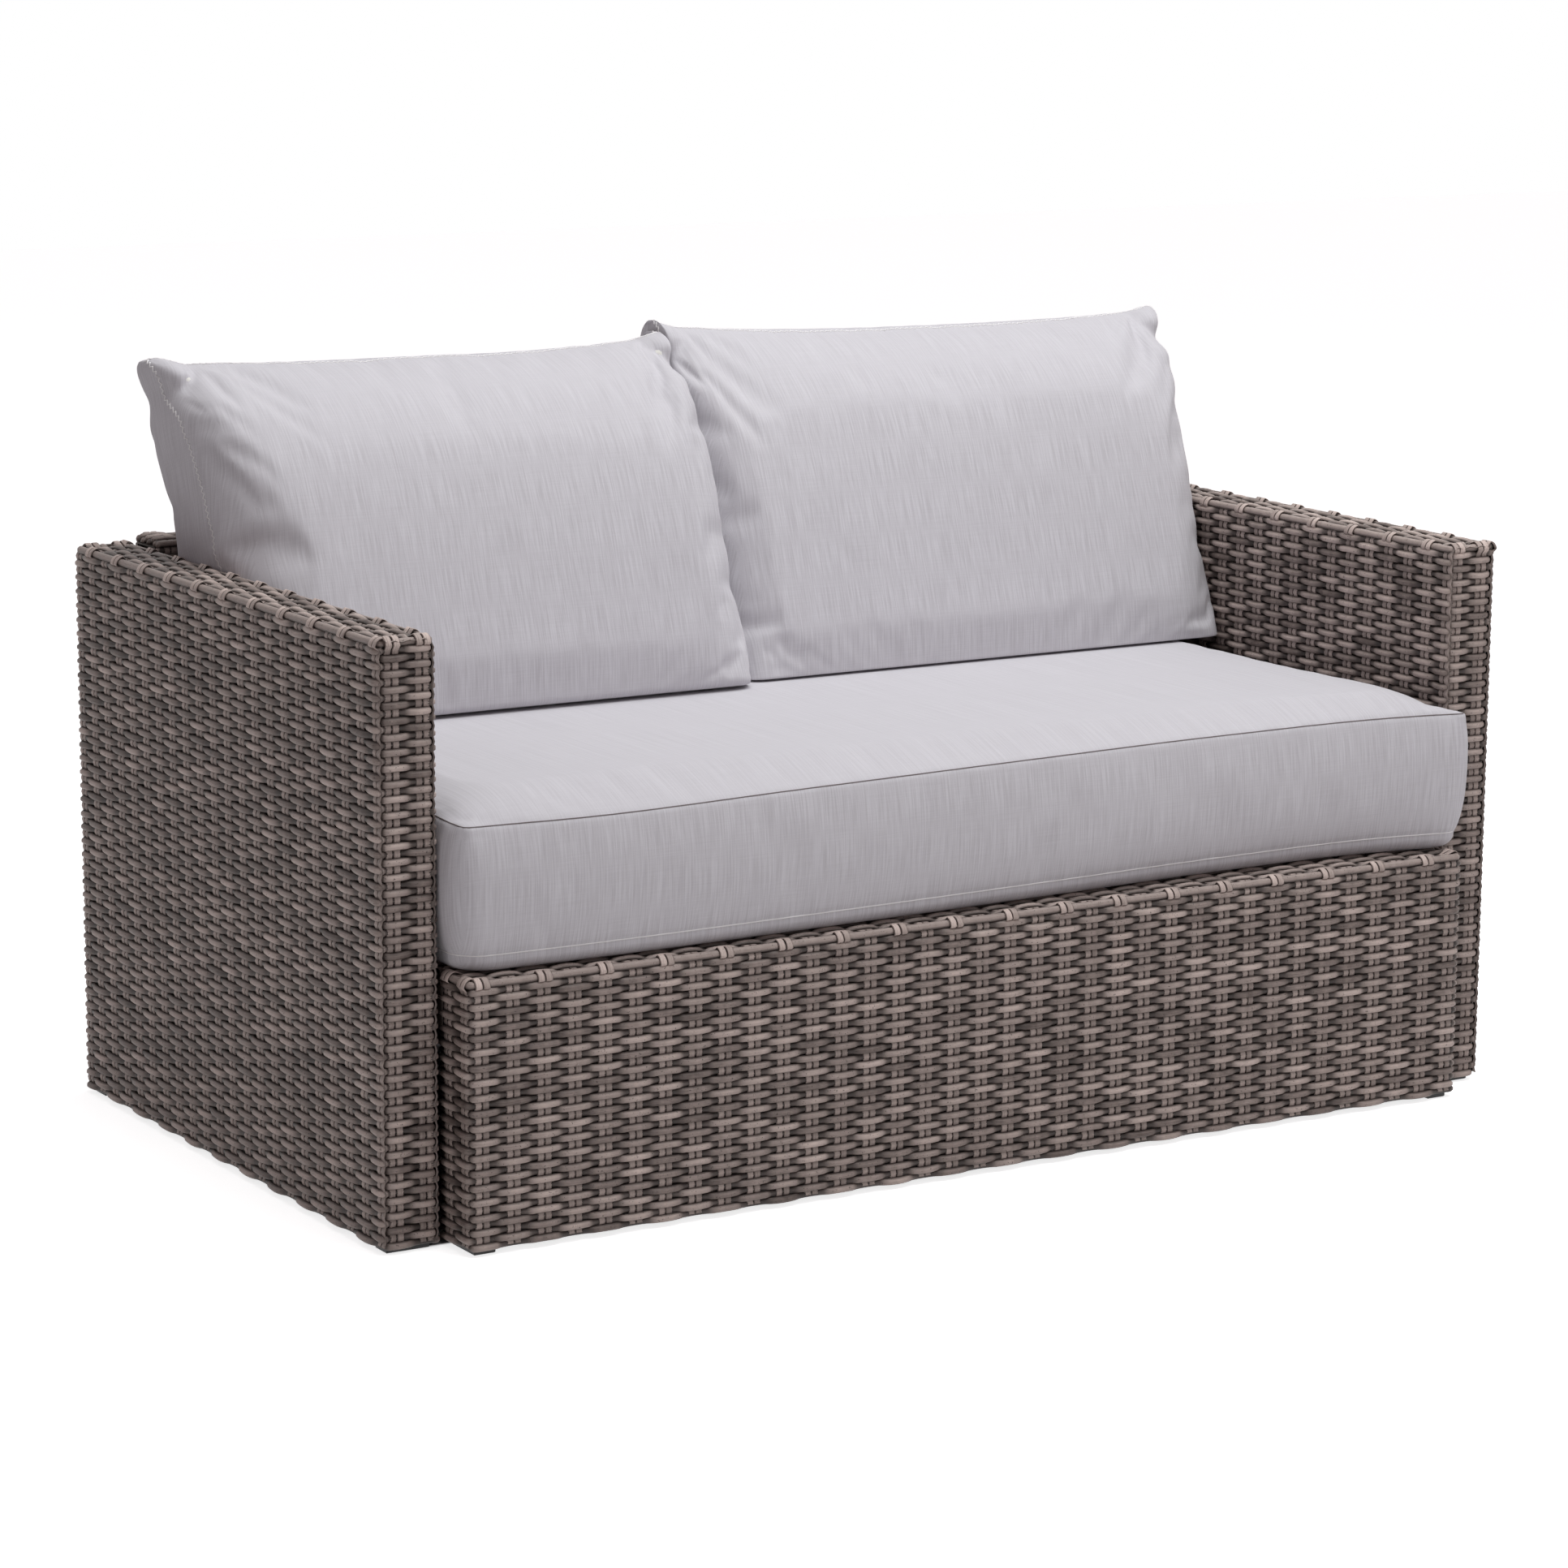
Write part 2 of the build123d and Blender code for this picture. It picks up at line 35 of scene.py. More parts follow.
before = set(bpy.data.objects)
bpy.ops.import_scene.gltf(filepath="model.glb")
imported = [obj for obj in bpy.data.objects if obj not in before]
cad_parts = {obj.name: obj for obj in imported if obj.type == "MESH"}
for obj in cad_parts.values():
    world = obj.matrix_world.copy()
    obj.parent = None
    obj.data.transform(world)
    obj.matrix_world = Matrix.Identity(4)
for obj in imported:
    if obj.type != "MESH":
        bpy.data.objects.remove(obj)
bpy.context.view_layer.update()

MM = 0.001
X_AXIS = np.array([1.0, 0.0, 0.0])
Y_AXIS = np.array([0.0, 1.0, 0.0])
Z_AXIS = np.array([0.0, 0.0, 1.0])

# Places read from the frame
arm_low, arm_high = (np.array(corner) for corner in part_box("right_arm_wicker"))
apron_low, apron_high = (np.array(corner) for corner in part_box("apron_wicker"))
back_low, back_high = (np.array(corner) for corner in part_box("back_outer_wicker"))
panel_low, panel_high = (np.array(corner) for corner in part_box("back_inner_wicker"))
deck_low, deck_high = (np.array(corner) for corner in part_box("seat_deck"))
seat_low, seat_high = (np.array(corner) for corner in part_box("seat_cushion_cover"))
pillow_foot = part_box("left_back_cushion_cover")[0][2]

# Weave
edge_radius = 9 * MM
rib_pitch = 36.15 * MM
rib_half_gap = 4.4 * MM
rib_wide = 8.6 * MM
rib_thick = 1.5 * MM
rib_out = -3.9 * MM
rib_in = -6.2 * MM
strand_wide = 8.2 * MM
strand_swell = 0.5 * MM
strand_thick = 5.2 * MM
strand_out = -3.4 * MM
strand_in = -8.2 * MM
strand_wander = 0.4 * MM
border_wide = 9 * MM
border_thick = 4.4 * MM
border_lift = -4.6 * MM
border_inset = 2.6 * MM
first_row = 9 * MM
row_half = 4 * MM
top_rows = 6
crossing_power = 0.55
swell_power = 0.8
tuck_end = 8 * MM
tuck_radius = 5 * MM
row_wander = 0.2 * MM
# Painted shade: strands darken as they sink deeper into the weave, from the first lift over the second
painted_shade_from = -3.0 * MM
painted_shade_reach = 4.5 * MM
strand_apart = 1.37
row_tone_share, span_tone_share = 0.25, 0.75
# The rib on the +1 hand of each pair is darker: painted shade for the rib seen in shadow
rib_tones_with_shade = {-1: 0.88, 1: 0.6}
rib_tone_range = (0.8, 1.05)
border_tone_range = (0.4, 0.8)
flat_share = 0.8
fold_level = 1.4
rib_wander = 0.15 * MM
rib_play = 0.2 * MM
# A thin dark sheet behind the weave: painted shade for the hollow inside
shade_sheet_lift = -8.8 * MM
shade_sheet_thick = 0.3 * MM
arm_rows = 78
apron_rows = 35
back_rows = 78
panel_rows = 41
lip_rows = 3
side_ribs = 22
wide_ribs = 36
end_rib = 8 * MM
end_fold = 24 * MM
front_ribs = [19 * MM, 54 * MM]
apron_end_rib = 17 * MM
apron_side_ribs = [17 * MM, 53 * MM]
deck_pitch = 12 * MM
deck_gap = 1.2 * MM
wide_places = np.linspace(-apron_high[0] + apron_end_rib, apron_high[0] - apron_end_rib, wide_ribs)
arm_seeds = {"left": 11, "right": 12}
apron_seed, deck_seed, back_seed = 13, 14, 15

# Cushions
seat_half_wide = 648 * MM
seat_bulge = 8 * MM
seat_seam_low = 313 * MM
seat_seam_high = 454 * MM
seat_crown = seat_high[2] - seat_seam_high - 0.5 * MM
seat_crown_roll = 115 * MM
seat_rear_roll = 90 * MM
seat_corner = 30 * MM
seat_top_corner = 10 * MM
seat_roll = 16 * MM
seat_draw_in = 5 * MM
seat_rear_draw = 0.6
seat_arm_share = 0.9
seat_end_swells = {-1: -3 * MM, 1: 17 * MM}
seat_front_waves = [
    (-1.0, 4.5 * MM), (-0.78, 9.5 * MM), (-0.36, 7.5 * MM), (0.14, -2.5 * MM),
    (0.5, -13 * MM), (0.86, -9 * MM), (1.0, 8 * MM),
]
seat_seam_sags = [(-1.0, 4 * MM), (-0.8, 6 * MM), (-0.36, 2.5 * MM), (0.14, 0.0), (1.0, 0.0)]
seat_dent = 0.8 * MM
seat_dents_across, seat_dents_along = (7, 1.3), (4, -0.6)
seat_bulge_power = 2.4
grid_crowding = 0.1
seat_cell = 12 * MM
seat_boxing_rows = 15
panel_rake = math.radians(15)
panel_foot_y = panel_low[1] + (pillow_foot - panel_low[2]) * math.tan(panel_rake)
arm_play = 1.5 * MM
arm_face = arm_low[0] - arm_play
back_split = -36 * MM
back_gap = 3 * MM
press_ease = 3 * MM
pillow_seeds = {"left": 21, "right": 22}
pillow_cell = 8 * MM
pillow_wide = 690 * MM
pillow_tall = 450 * MM
pillow_dip = 84 * MM
pillow_height = {"left": 369 * MM, "right": 375 * MM}
pillow_seam_level = 111 * MM
pillow_front = {"left": 148 * MM, "right": 114 * MM}
pillow_lean = {"left": 15 * MM, "right": 15 * MM}
pillow_rear = 101 * MM
pillow_press = {"left": (14 * MM, 9 * MM), "right": (14 * MM, 14 * MM)}
pillow_flare = 33 * MM
pillow_over_arm = 28 * MM
pillow_draw = 13 * MM
pillow_sag = {"left": 8 * MM, "right": 6 * MM}
pillow_tilt = {"left": -2 * MM, "right": -17 * MM}
pillow_wave = 2 * MM
pillow_waves = {"left": 6.5, "right": 4.0}
pillow_wave_start = 0.7
pillow_bow_share = 0.3
pillow_lean_fade = 1.15
pillow_corner = 16 * MM
pillow_side_roll = 45 * MM
pillow_rear_roll = 80 * MM
pillow_roll_power = 2.6
pillow_side_root = 0.36
pillow_rear_root = 0.5
pillow_top_root = 0.47
pillow_foot_root = 0.5
flare_from, flare_reach = 0.55, 0.45
fold_start = 6 * MM
pillow_top_roll = 290 * MM
pillow_foot_roll = 26 * MM
pillow_foot_hold = 9 * MM
pillow_foot_ease = 7 * MM
ear_reach = 24 * MM
ear_out = 9 * MM
ear_up = 8 * MM
ear_pinch = 0.35
ear_pinch_at, ear_pinch_wide = 1.9, 0.6
chosen_folds = {
    "left": [(1, 0.86, 7 * MM, 9 * MM, 34 * MM, -0.15), (1, 0.79, 6 * MM, 9 * MM, 42 * MM, 0.2),
             (1, 0.5, 6 * MM, 10 * MM, 55 * MM, 0.1), (1, 0.45, 4 * MM, 11 * MM, 75 * MM, 0.1)],
    "right": [(0, 0.86, 5 * MM, 9 * MM, 34 * MM, -0.2), (0, 0.2, 4 * MM, 9 * MM, 50 * MM, -0.1),
              (1, 0.8, 5 * MM, 9 * MM, 40 * MM, 0.2)],
}
pucker_count, pucker_heights, pucker_wander = 8, (0.3, 0.93), 0.02
pucker_sizes = [(0.8, 2.6), (6, 11), (18, 50)]
pucker_slopes = (-0.3, 0.3)
cloth_steps = 20
cloth_settings = {
    "quality": 5, "mass": 0.3, "tension_stiffness": 15, "compression_stiffness": 15,
    "shear_stiffness": 5, "bending_stiffness": 0.5, "air_damping": 1,
    "use_pressure": True, "uniform_pressure_force": 4,
}
seat_cap = 6 * MM
seat_slack = 0.004
seat_top_play = 0.5 * MM
pillow_cap = 13 * MM
pillow_slack = 0.01
seam_pull = 1.6 * MM
core_play = 3 * MM
core_thin_share = 0.3
core_scale = 0.97
zip_step = 12 * MM
zip_wide = 24 * MM
zip_thick = 0.5 * MM
zip_lift = 0.3 * MM
teeth_wide = 5 * MM
teeth_thick = 0.9 * MM
thread_radius = 0.7 * MM
thread_step = 6 * MM
thread_lift = 0.2
stitch_step = 3.6 * MM
stitch_half = 2.2 * MM
stitch_radius = 0.9 * MM

# Colours as eight-bit screen numbers
strand_dark = (75, 62, 57)
strand_light = (214, 196, 188)
strand_speck = (52, 42, 38)
# Painted shade at a strand's edges and deep parts
painted_shade_colour = (30, 23, 21)
cloth_dark = (194, 191, 196)
cloth_light = (213, 211, 216)

# Strands as shaded: noise scales per metre, shares of the mix, depths, and painted shade at the edges and
# deep parts
streak_scales = (22.0, 5.0, 1.0)
streak_share, patch_share = 0.55, 0.45
streak_relief = 0.5
patch_scale = 90.0
spot_scale = 520.0
spot_range = (0.66, 0.74)
rib_specks, strand_specks = 0.3, 0.75
grain_share, tone_share = 0.75, 0.62
shade_range = (0.3, 1.02)
# Painted shade: darkening from these shares of the half width out to the edge, and its strength at the edge
# and in deep parts
rib_painted_rim_from, strand_painted_rim_from = 0.86, 0.45
painted_rim_shade, painted_depth_shade = 0.88, 0.9
strand_roughness = (0.42, 0.64)
rib_relief = 0.8
strand_bump = 0.4 * MM

# Cloth as shaded
sideways_range = (0.68, 0.74)
lying_range = (0.4, 0.95)
lying_calm = 0.45
warp_slant = 0.3
broad_scales = (0.09, 0.3, 1.0)
weft_scales = (0.03, 40.0, 1.0)
fine_share, broad_share, weft_share = 0.75, 0.1, 0.15
fine_relief, weft_relief = 0.6, 0.4
slub_range = (0.36, 0.64)
cloth_bump = 0.25 * MM

# Dust and wear on hard parts
dust_scale = 14.0
dust_range = (0.42, 0.68)
dust_dulling = 0.25
wear_bump = 0.1 * MM

# Camera and light
camera_place = (-2.775, -4.512, 1.400)
camera_target = (-0.030, -0.0115, 0.371)
camera_roll = math.radians(0.36)
camera_lens, camera_sensor = 106.8, 36
world_light = 0.24
lamp_target = (0, 0, 0.4)
lamps = [
    ("Overhead", (0.5, -0.7, 3.9), 3.2, 126, (0.975, 1, 1)),
    ("Front", (2.0, -4.2, 1.9), 2.4, 13, (1, 0.95, 0.955)),
]
floor_reach = 12
floor_pale = (240, 240, 240)
floor_glow = 0.77
shade_tint = (255, 243, 246)
# Painted shadow: the box under the object where the floor does not glow, its half sizes, soft edge and
# middle
painted_shadow_x, painted_shadow_y, painted_shadow_edge = 0.70, 0.383, 0.006
painted_shadow_middle = 0.03

# Cross sections of the strands, as shares of half the width and of the thickness
strand_section_shares = [(-1, 0.02), (-0.83, 0.48), (-0.34, 0.93), (0.34, 0.93), (0.83, 0.48), (1, 0.02)]
rib_section_shares = [(-1, 0.3), (-0.6, 1), (0.6, 1), (1, 0.3)]
between_rib_shares = [0, 0.22, 0.41, 0.59, 0.78]
corner_arc_shares = [0.12, 0.5, 0.88]
border_arc_shares = [0.06, 0.28, 0.5, 0.72, 0.94]


def unit(v):
    """The vector at length one."""
    return v / np.linalg.norm(v)


def unit_rows(rows):
    """Each row at length one."""
    return rows / np.linalg.norm(rows, axis=1)[:, None]


class Track:
    """Straight runs and round corners in a plane. Its outer side is on the right of the way it runs."""

    def __init__(self, corners, radius, closed=False):
        points = [np.array(c, float) for c in corners]
        count = len(points)
        self.closed = closed
        self.cuts = [0.0] * count
        angles = [0.0] * count
        for i in range(count) if closed else range(1, count - 1):
            before = unit(points[i] - points[i - 1])
            after = unit(points[(i + 1) % count] - points[i])
            cross = before[0] * after[1] - before[1] * after[0]
            angles[i] = math.atan2(cross, before @ after)
            self.cuts[i] = radius * math.tan(abs(angles[i]) / 2)
        self.parts = []
        self.starts = []
        self.arcs = []
        at = 0.0
        for i in range(count if closed else count - 1):
            j = (i + 1) % count
            way = unit(points[j] - points[i])
            length = np.linalg.norm(points[j] - points[i]) - self.cuts[i] - self.cuts[j]
            start = points[i] + way * self.cuts[i]
            self.starts.append(at)
            self.parts.append((at, at + length, start, way, 0.0, radius))
            at += length
            if angles[j]:
                arc = abs(angles[j]) * radius
                self.arcs.append((at, at + arc))
                turn = math.copysign(1, angles[j])
                self.parts.append((at, at + arc, start + way * length, way, turn, radius))
                at += arc
        self.length = at

    def spot(self, run, distance):
        """How far along the track a place lies that is given by its distance from a run's sharp corner."""
        return self.starts[run] + distance - self.cuts[run]

    def at(self, s):
        """Points of the track and its outward directions, in the plane."""
        s = np.asarray(s, float)
        if self.closed:
            s = s % self.length
        points = np.zeros((len(s), 2))
        out = np.zeros((len(s), 2))
        for k, (low, high, start, way, turn, radius) in enumerate(self.parts):
            hit = s >= low if k else np.ones(len(s), bool)
            along = s[hit] - low
            if turn:
                angle = turn * along / radius
                left = np.array([-way[1], way[0]]) * turn
                centre = start + left * radius
                cos, sin = np.cos(angle)[:, None], np.sin(angle)[:, None]
                arm = -left * cos - np.array([-left[1], left[0]]) * sin
                points[hit] = centre + arm * radius
                direction = way * cos + np.array([-way[1], way[0]]) * sin
            else:
                points[hit] = start + way * along[:, None]
                direction = np.repeat(way[None], len(along), 0)
            out[hit] = np.stack([direction[:, 1], -direction[:, 0]], 1)
        return points, out


class Strands:
    """Collects strands of one material and turns them into one mesh."""

    def __init__(self):
        self.points, self.faces, self.values, self.count = [], [], [], 0

    def add(self, centre, out, side, width, thick, lift, tone, section, closed=False):
        """One strand along a line of centres, with its flat back at the lift and its crown outward."""
        n, m = len(centre), len(section)
        section = np.array(section, float)
        width = np.broadcast_to(width, n)[:, None, None]
        lift = np.broadcast_to(lift, n)[:, None, None]
        tone = np.broadcast_to(tone, n)[:, None]
        side = np.broadcast_to(side, (n, 3))[:, None]
        height = thick * section[None, :, 1:2]
        points = centre[:, None] + side * width / 2 * section[None, :, :1] + out[:, None] * (lift + height)
        ahead = np.roll(centre, -1, 0)[:-1] - centre[:-1]
        middle = n // 2 - 1
        flip = np.dot(np.cross(ahead[middle], side[middle, 0]), out[middle]) > 0
        first = sum(len(p) for p in self.points)
        rows = n if closed else n - 1
        i = np.repeat(np.arange(rows), m)
        j = np.tile(np.arange(m), rows)
        next_i, next_j = (i + 1) % n, (j + 1) % m
        corners = np.stack([i * m + j, i * m + next_j, next_i * m + next_j, next_i * m + j], 1)
        steps = np.linalg.norm(ahead, axis=1)
        along = np.concatenate([[0.0], np.cumsum(steps)])
        reach = along[-1] + (steps[-1] if closed else 0)
        far = np.where(i + 1 < n, along[next_i], reach) / reach
        near = along[i] / reach
        low, high = (j + 0.5) / (m + 1), (j + 1.5) / (m + 1)
        maps = np.stack([near, low, near, high, far, high, far, low], 1).reshape(-1, 4, 2)
        if flip:
            corners, maps = corners[:, ::-1], maps[:, ::-1]
        self.faces.append((corners + first, maps, self.count))
        if not closed:
            for ring, turned in ((0, True), (n - 1, False)):
                cap = ring * m + np.arange(m)
                cap = cap[::-1] if turned != flip else cap
                spot = np.zeros((1, m, 2)) + [0.0 if ring == 0 else 1.0, 0.5 / (m + 1)]
                self.faces.append((cap[None] + first, spot, self.count))
        self.points.append(points.reshape(-1, 3))
        across = section[None, :, 0]
        way = along[:, None] + self.count * strand_apart
        # deep: painted shade, darker where the strand lies deeper in the weave
        deep = np.clip((painted_shade_from - lift[:, :, 0]) / painted_shade_reach, 0, 1)
        values = [np.broadcast_to(v, (n, m)).reshape(-1) for v in (tone, across, way, deep)]
        self.values.append(np.stack(values, 1))
        self.count += 1

    def mesh(self, name):
        """The mesh object with its values at each point. Its map keeps the strands apart."""
        points = np.concatenate(self.points).astype(np.float32)
        values = np.concatenate(self.values).astype(np.float32)
        corners = np.concatenate([f[0].reshape(-1) for f in self.faces]).astype(np.int32)
        totals = np.concatenate([np.full(len(f[0]), f[0].shape[1]) for f in self.faces]).astype(np.int32)
        data = bpy.data.meshes.new(name)
        data.vertices.add(len(points))
        data.vertices.foreach_set("co", points.reshape(-1))
        data.loops.add(len(corners))
        data.loops.foreach_set("vertex_index", corners)
        data.polygons.add(len(totals))
        data.polygons.foreach_set("loop_start", (np.cumsum(totals) - totals).astype(np.int32))
        data.polygons.foreach_set("loop_total", totals)
        data.polygons.foreach_set("use_smooth", np.ones(len(totals), bool))
        maps = []
        for _, spots, strand in self.faces:
            spots = spots.reshape(-1, 2).copy()
            spots[:, 1] = (spots[:, 1] + strand) / self.count
            maps.append(spots)
        layer = data.uv_layers.new(name="OFBake")
        layer.data.foreach_set("uv", np.concatenate(maps).astype(np.float32).reshape(-1))
        for k, word in enumerate(("tone", "across", "along", "deep")):
            data.attributes.new(word, "FLOAT", "POINT").data.foreach_set("value", values[:, k].copy())
        data.update()
        data.validate()
        thing = bpy.data.objects.new(name, data)
        bpy.context.scene.collection.objects.link(thing)
        return thing


class Plane:
    """Where a track lies in space: its origin and the directions of its two coordinates."""

    def __init__(self, origin, right, up):
        self.origin, self.right, self.up = (np.array(v, float) for v in (origin, right, up))
        self.side = np.cross(self.right, self.up)

    def place(self, points, out):
        """Points and directions of a track in space."""
        centre = self.origin + points[:, :1] * self.right + points[:, 1:] * self.up
        return centre, out[:, :1] * self.right + out[:, 1:] * self.up


def weaver_samples(track, ribs):
    """Where a weaver's rings lie: at and between the ribs, and round the corners."""
    ribs = np.array(ribs)
    if track.closed:
        steps = np.diff(np.append(ribs, ribs[0] + track.length))
    else:
        steps = np.append(np.diff(ribs), 0)
    s = (ribs[:, None] + steps[:, None] * np.array(between_rib_shares)[None]).reshape(-1)
    for low, high in track.arcs:
        s = np.append(s, low + (high - low) * np.array(corner_arc_shares))
    if track.closed:
        return np.unique(np.round(s % track.length, 6))
    return np.unique(np.round(np.concatenate([[0.0, track.length], s[(s > 0) & (s < track.length)]]), 6))


def rib_phase(track, ribs, s):
    """A coordinate that counts the ribs along the track."""
    ribs = np.array(ribs)
    count = len(ribs)
    if track.closed:
        places = np.concatenate([[ribs[-1] - track.length], ribs, [ribs[0] + track.length]])
        return np.interp(s, places, np.arange(-1, count + 1))
    places = np.concatenate([[ribs[0] - rib_pitch], ribs, [ribs[-1] + rib_pitch]])
    return np.interp(s, places, np.arange(-1, count + 1))


def lay_weaver(strands, track, plane, ribs, row, rng, wide=strand_wide, thick=strand_thick, flat=False):
    """A strand that passes over one pair of ribs and under the next."""
    s = weaver_samples(track, ribs)
    phase = rib_phase(track, ribs, s) + row
    points, out = track.at(s)
    centre, out = plane.place(points, out)
    wave = np.cos(math.pi * phase)
    eased = np.sign(wave) * np.abs(wave) ** crossing_power
    over = np.clip(wave, 0, 1)
    spans = np.round(phase / 2).astype(int)
    count = spans.max() - spans.min() + 1
    tones = rng.uniform(0, 1, count)
    shifts = rng.normal(0, strand_wander, count)
    which = spans - spans.min()
    if track.closed:
        which = which % (count - 1)
    tone = row_tone_share * rng.uniform(0, 1) + span_tone_share * tones[which]
    lift = (strand_out + strand_in) / 2 + (strand_out - strand_in) / 2 * eased
    width = wide + strand_swell * over ** swell_power
    centre = centre + (shifts[which] * over)[:, None] * plane.side
    flattened = flat_share if flat else 1
    section = [(a, h * flattened) for a, h in strand_section_shares]
    strands.add(centre, out, plane.side, width, thick, lift, tone, section, track.closed)


def lay_ribs(strands, track, plane, places, levels, rng, hands=(-1, 1)):
    """Flat ribs side by side along a track. Where a strand crosses, level 1 is out and 0 is in."""
    places, levels = np.array(places), np.array(levels, float)
    order = np.argsort(places)
    places, levels = places[order], levels[order]
    middle = (places[1:] + places[:-1]) / 2
    s = np.sort(np.concatenate([places, middle]))
    level = np.interp(s, places, levels)
    points, out = track.at(s)
    centre, out = plane.place(points, out)
    lift = rib_in + (rib_out - rib_in) * level
    for hand in hands:
        # Painted shade: the +1 rib of each pair takes the darker tone
        tone = rib_tones_with_shade[hand] * rng.uniform(*rib_tone_range)
        wander = rng.normal(0, rib_wander)
        shifted = centre + plane.side * (hand * rib_half_gap + wander)
        strands.add(shifted, out, plane.side, rib_wide, rib_thick, lift, tone, rib_section_shares)


def lay_shade_sheet(strands, track, plane, wide):
    """A thin dark sheet behind the weave of one face: painted shade that keeps its slits dark."""
    s = [0.0, track.length]
    for low, high in track.arcs:
        s += [low + (high - low) * share for share in border_arc_shares]
    points, out = track.at(np.sort(s))
    centre, out = plane.place(points, out)
    strands.add(centre, out, plane.side, wide, shade_sheet_thick, shade_sheet_lift, 0.0, rib_section_shares)


def lay_border(strands, track, plane, rng, tilt=None):
    """A thick plain strand that finishes an edge, turned halfway towards tilt on a rounded edge."""
    s = np.arange(0, track.length, rib_pitch / 2)
    for low, high in track.arcs:
        s = s[(s < low - border_inset) | (s > high + border_inset)]
        s = np.append(s, np.linspace(low, high, 5))
    s = np.sort(s) if track.closed else np.sort(np.append(s, track.length))
    points, out = track.at(s)
    centre, out = plane.place(points, out)
    side = np.repeat(plane.side[None], len(s), 0)
    if tilt is not None:
        facing = np.sign(plane.side @ tilt)
        side = (side - facing * out) / math.sqrt(2)
        out = (out + tilt) / math.sqrt(2)
    tone = rng.uniform(*border_tone_range)
    looks = (border_wide, border_thick, border_lift, tone, strand_section_shares)
    strands.add(centre, out, side, *looks, track.closed)


def crossing_levels(first, count):
    """Levels of a rib at a row of crossings, in at an even number and out at an odd one."""
    return [(first + i) % 2 for i in range(count)]


def over_border(level):
    """The level of a rib at a border strand: over it or under it."""
    return (border_lift + border_thick + rib_play - rib_in) / (rib_out - rib_in) if level else 0


def wrap_borders(track, places, levels):
    """The places and levels, with each border, given as its arc's number, spread over that arc."""
    spread_places, spread_levels = [], []
    for place, level in zip(places, levels):
        if isinstance(place, int):
            low, high = track.arcs[place]
            spread_places += [low + (high - low) * share for share in border_arc_shares]
            spread_levels += [over_border(level)] * len(border_arc_shares)
        else:
            spread_places.append(place)
            spread_levels.append(level)
    return spread_places, spread_levels


def fold_over(ribs, plane, heights, top, base, first, rng):
    """A pair of ribs up an end wall, over the border strand and tucked into the top rows."""
    track = Track([(0, base), (0, top), (-end_fold, top)], edge_radius)
    places = [track.spot(0, z - base) for z in heights] + [0]
    places, levels = wrap_borders(track, places, crossing_levels(first, len(heights)) + [1])
    places += [track.spot(1, end_fold - tuck_end), track.length]
    lay_ribs(ribs, track, plane, places, levels + [fold_level, 0], rng)


def lay_rows(parts, plan, plane, places, heights, rng):
    """The rows of weavers round a plan, from the floor up, shared out to the parts."""
    for i, z in enumerate(heights):
        part = parts[len(parts) * i // len(heights)]
        level = plane.origin + (z + rng.normal(0, row_wander)) * Z_AXIS
        lay_weaver(part, plan, Plane(level, plane.right, plane.up), places, i, rng)


def shade_sheet_end(ribs, middle, facing, base, top, wide):
    """The thin dark sheet of painted shade behind an end wall."""
    upright = Track([(0, base), (0, top - edge_radius)], edge_radius)
    lay_shade_sheet(ribs, upright, Plane(middle, facing, Z_AXIS), wide)


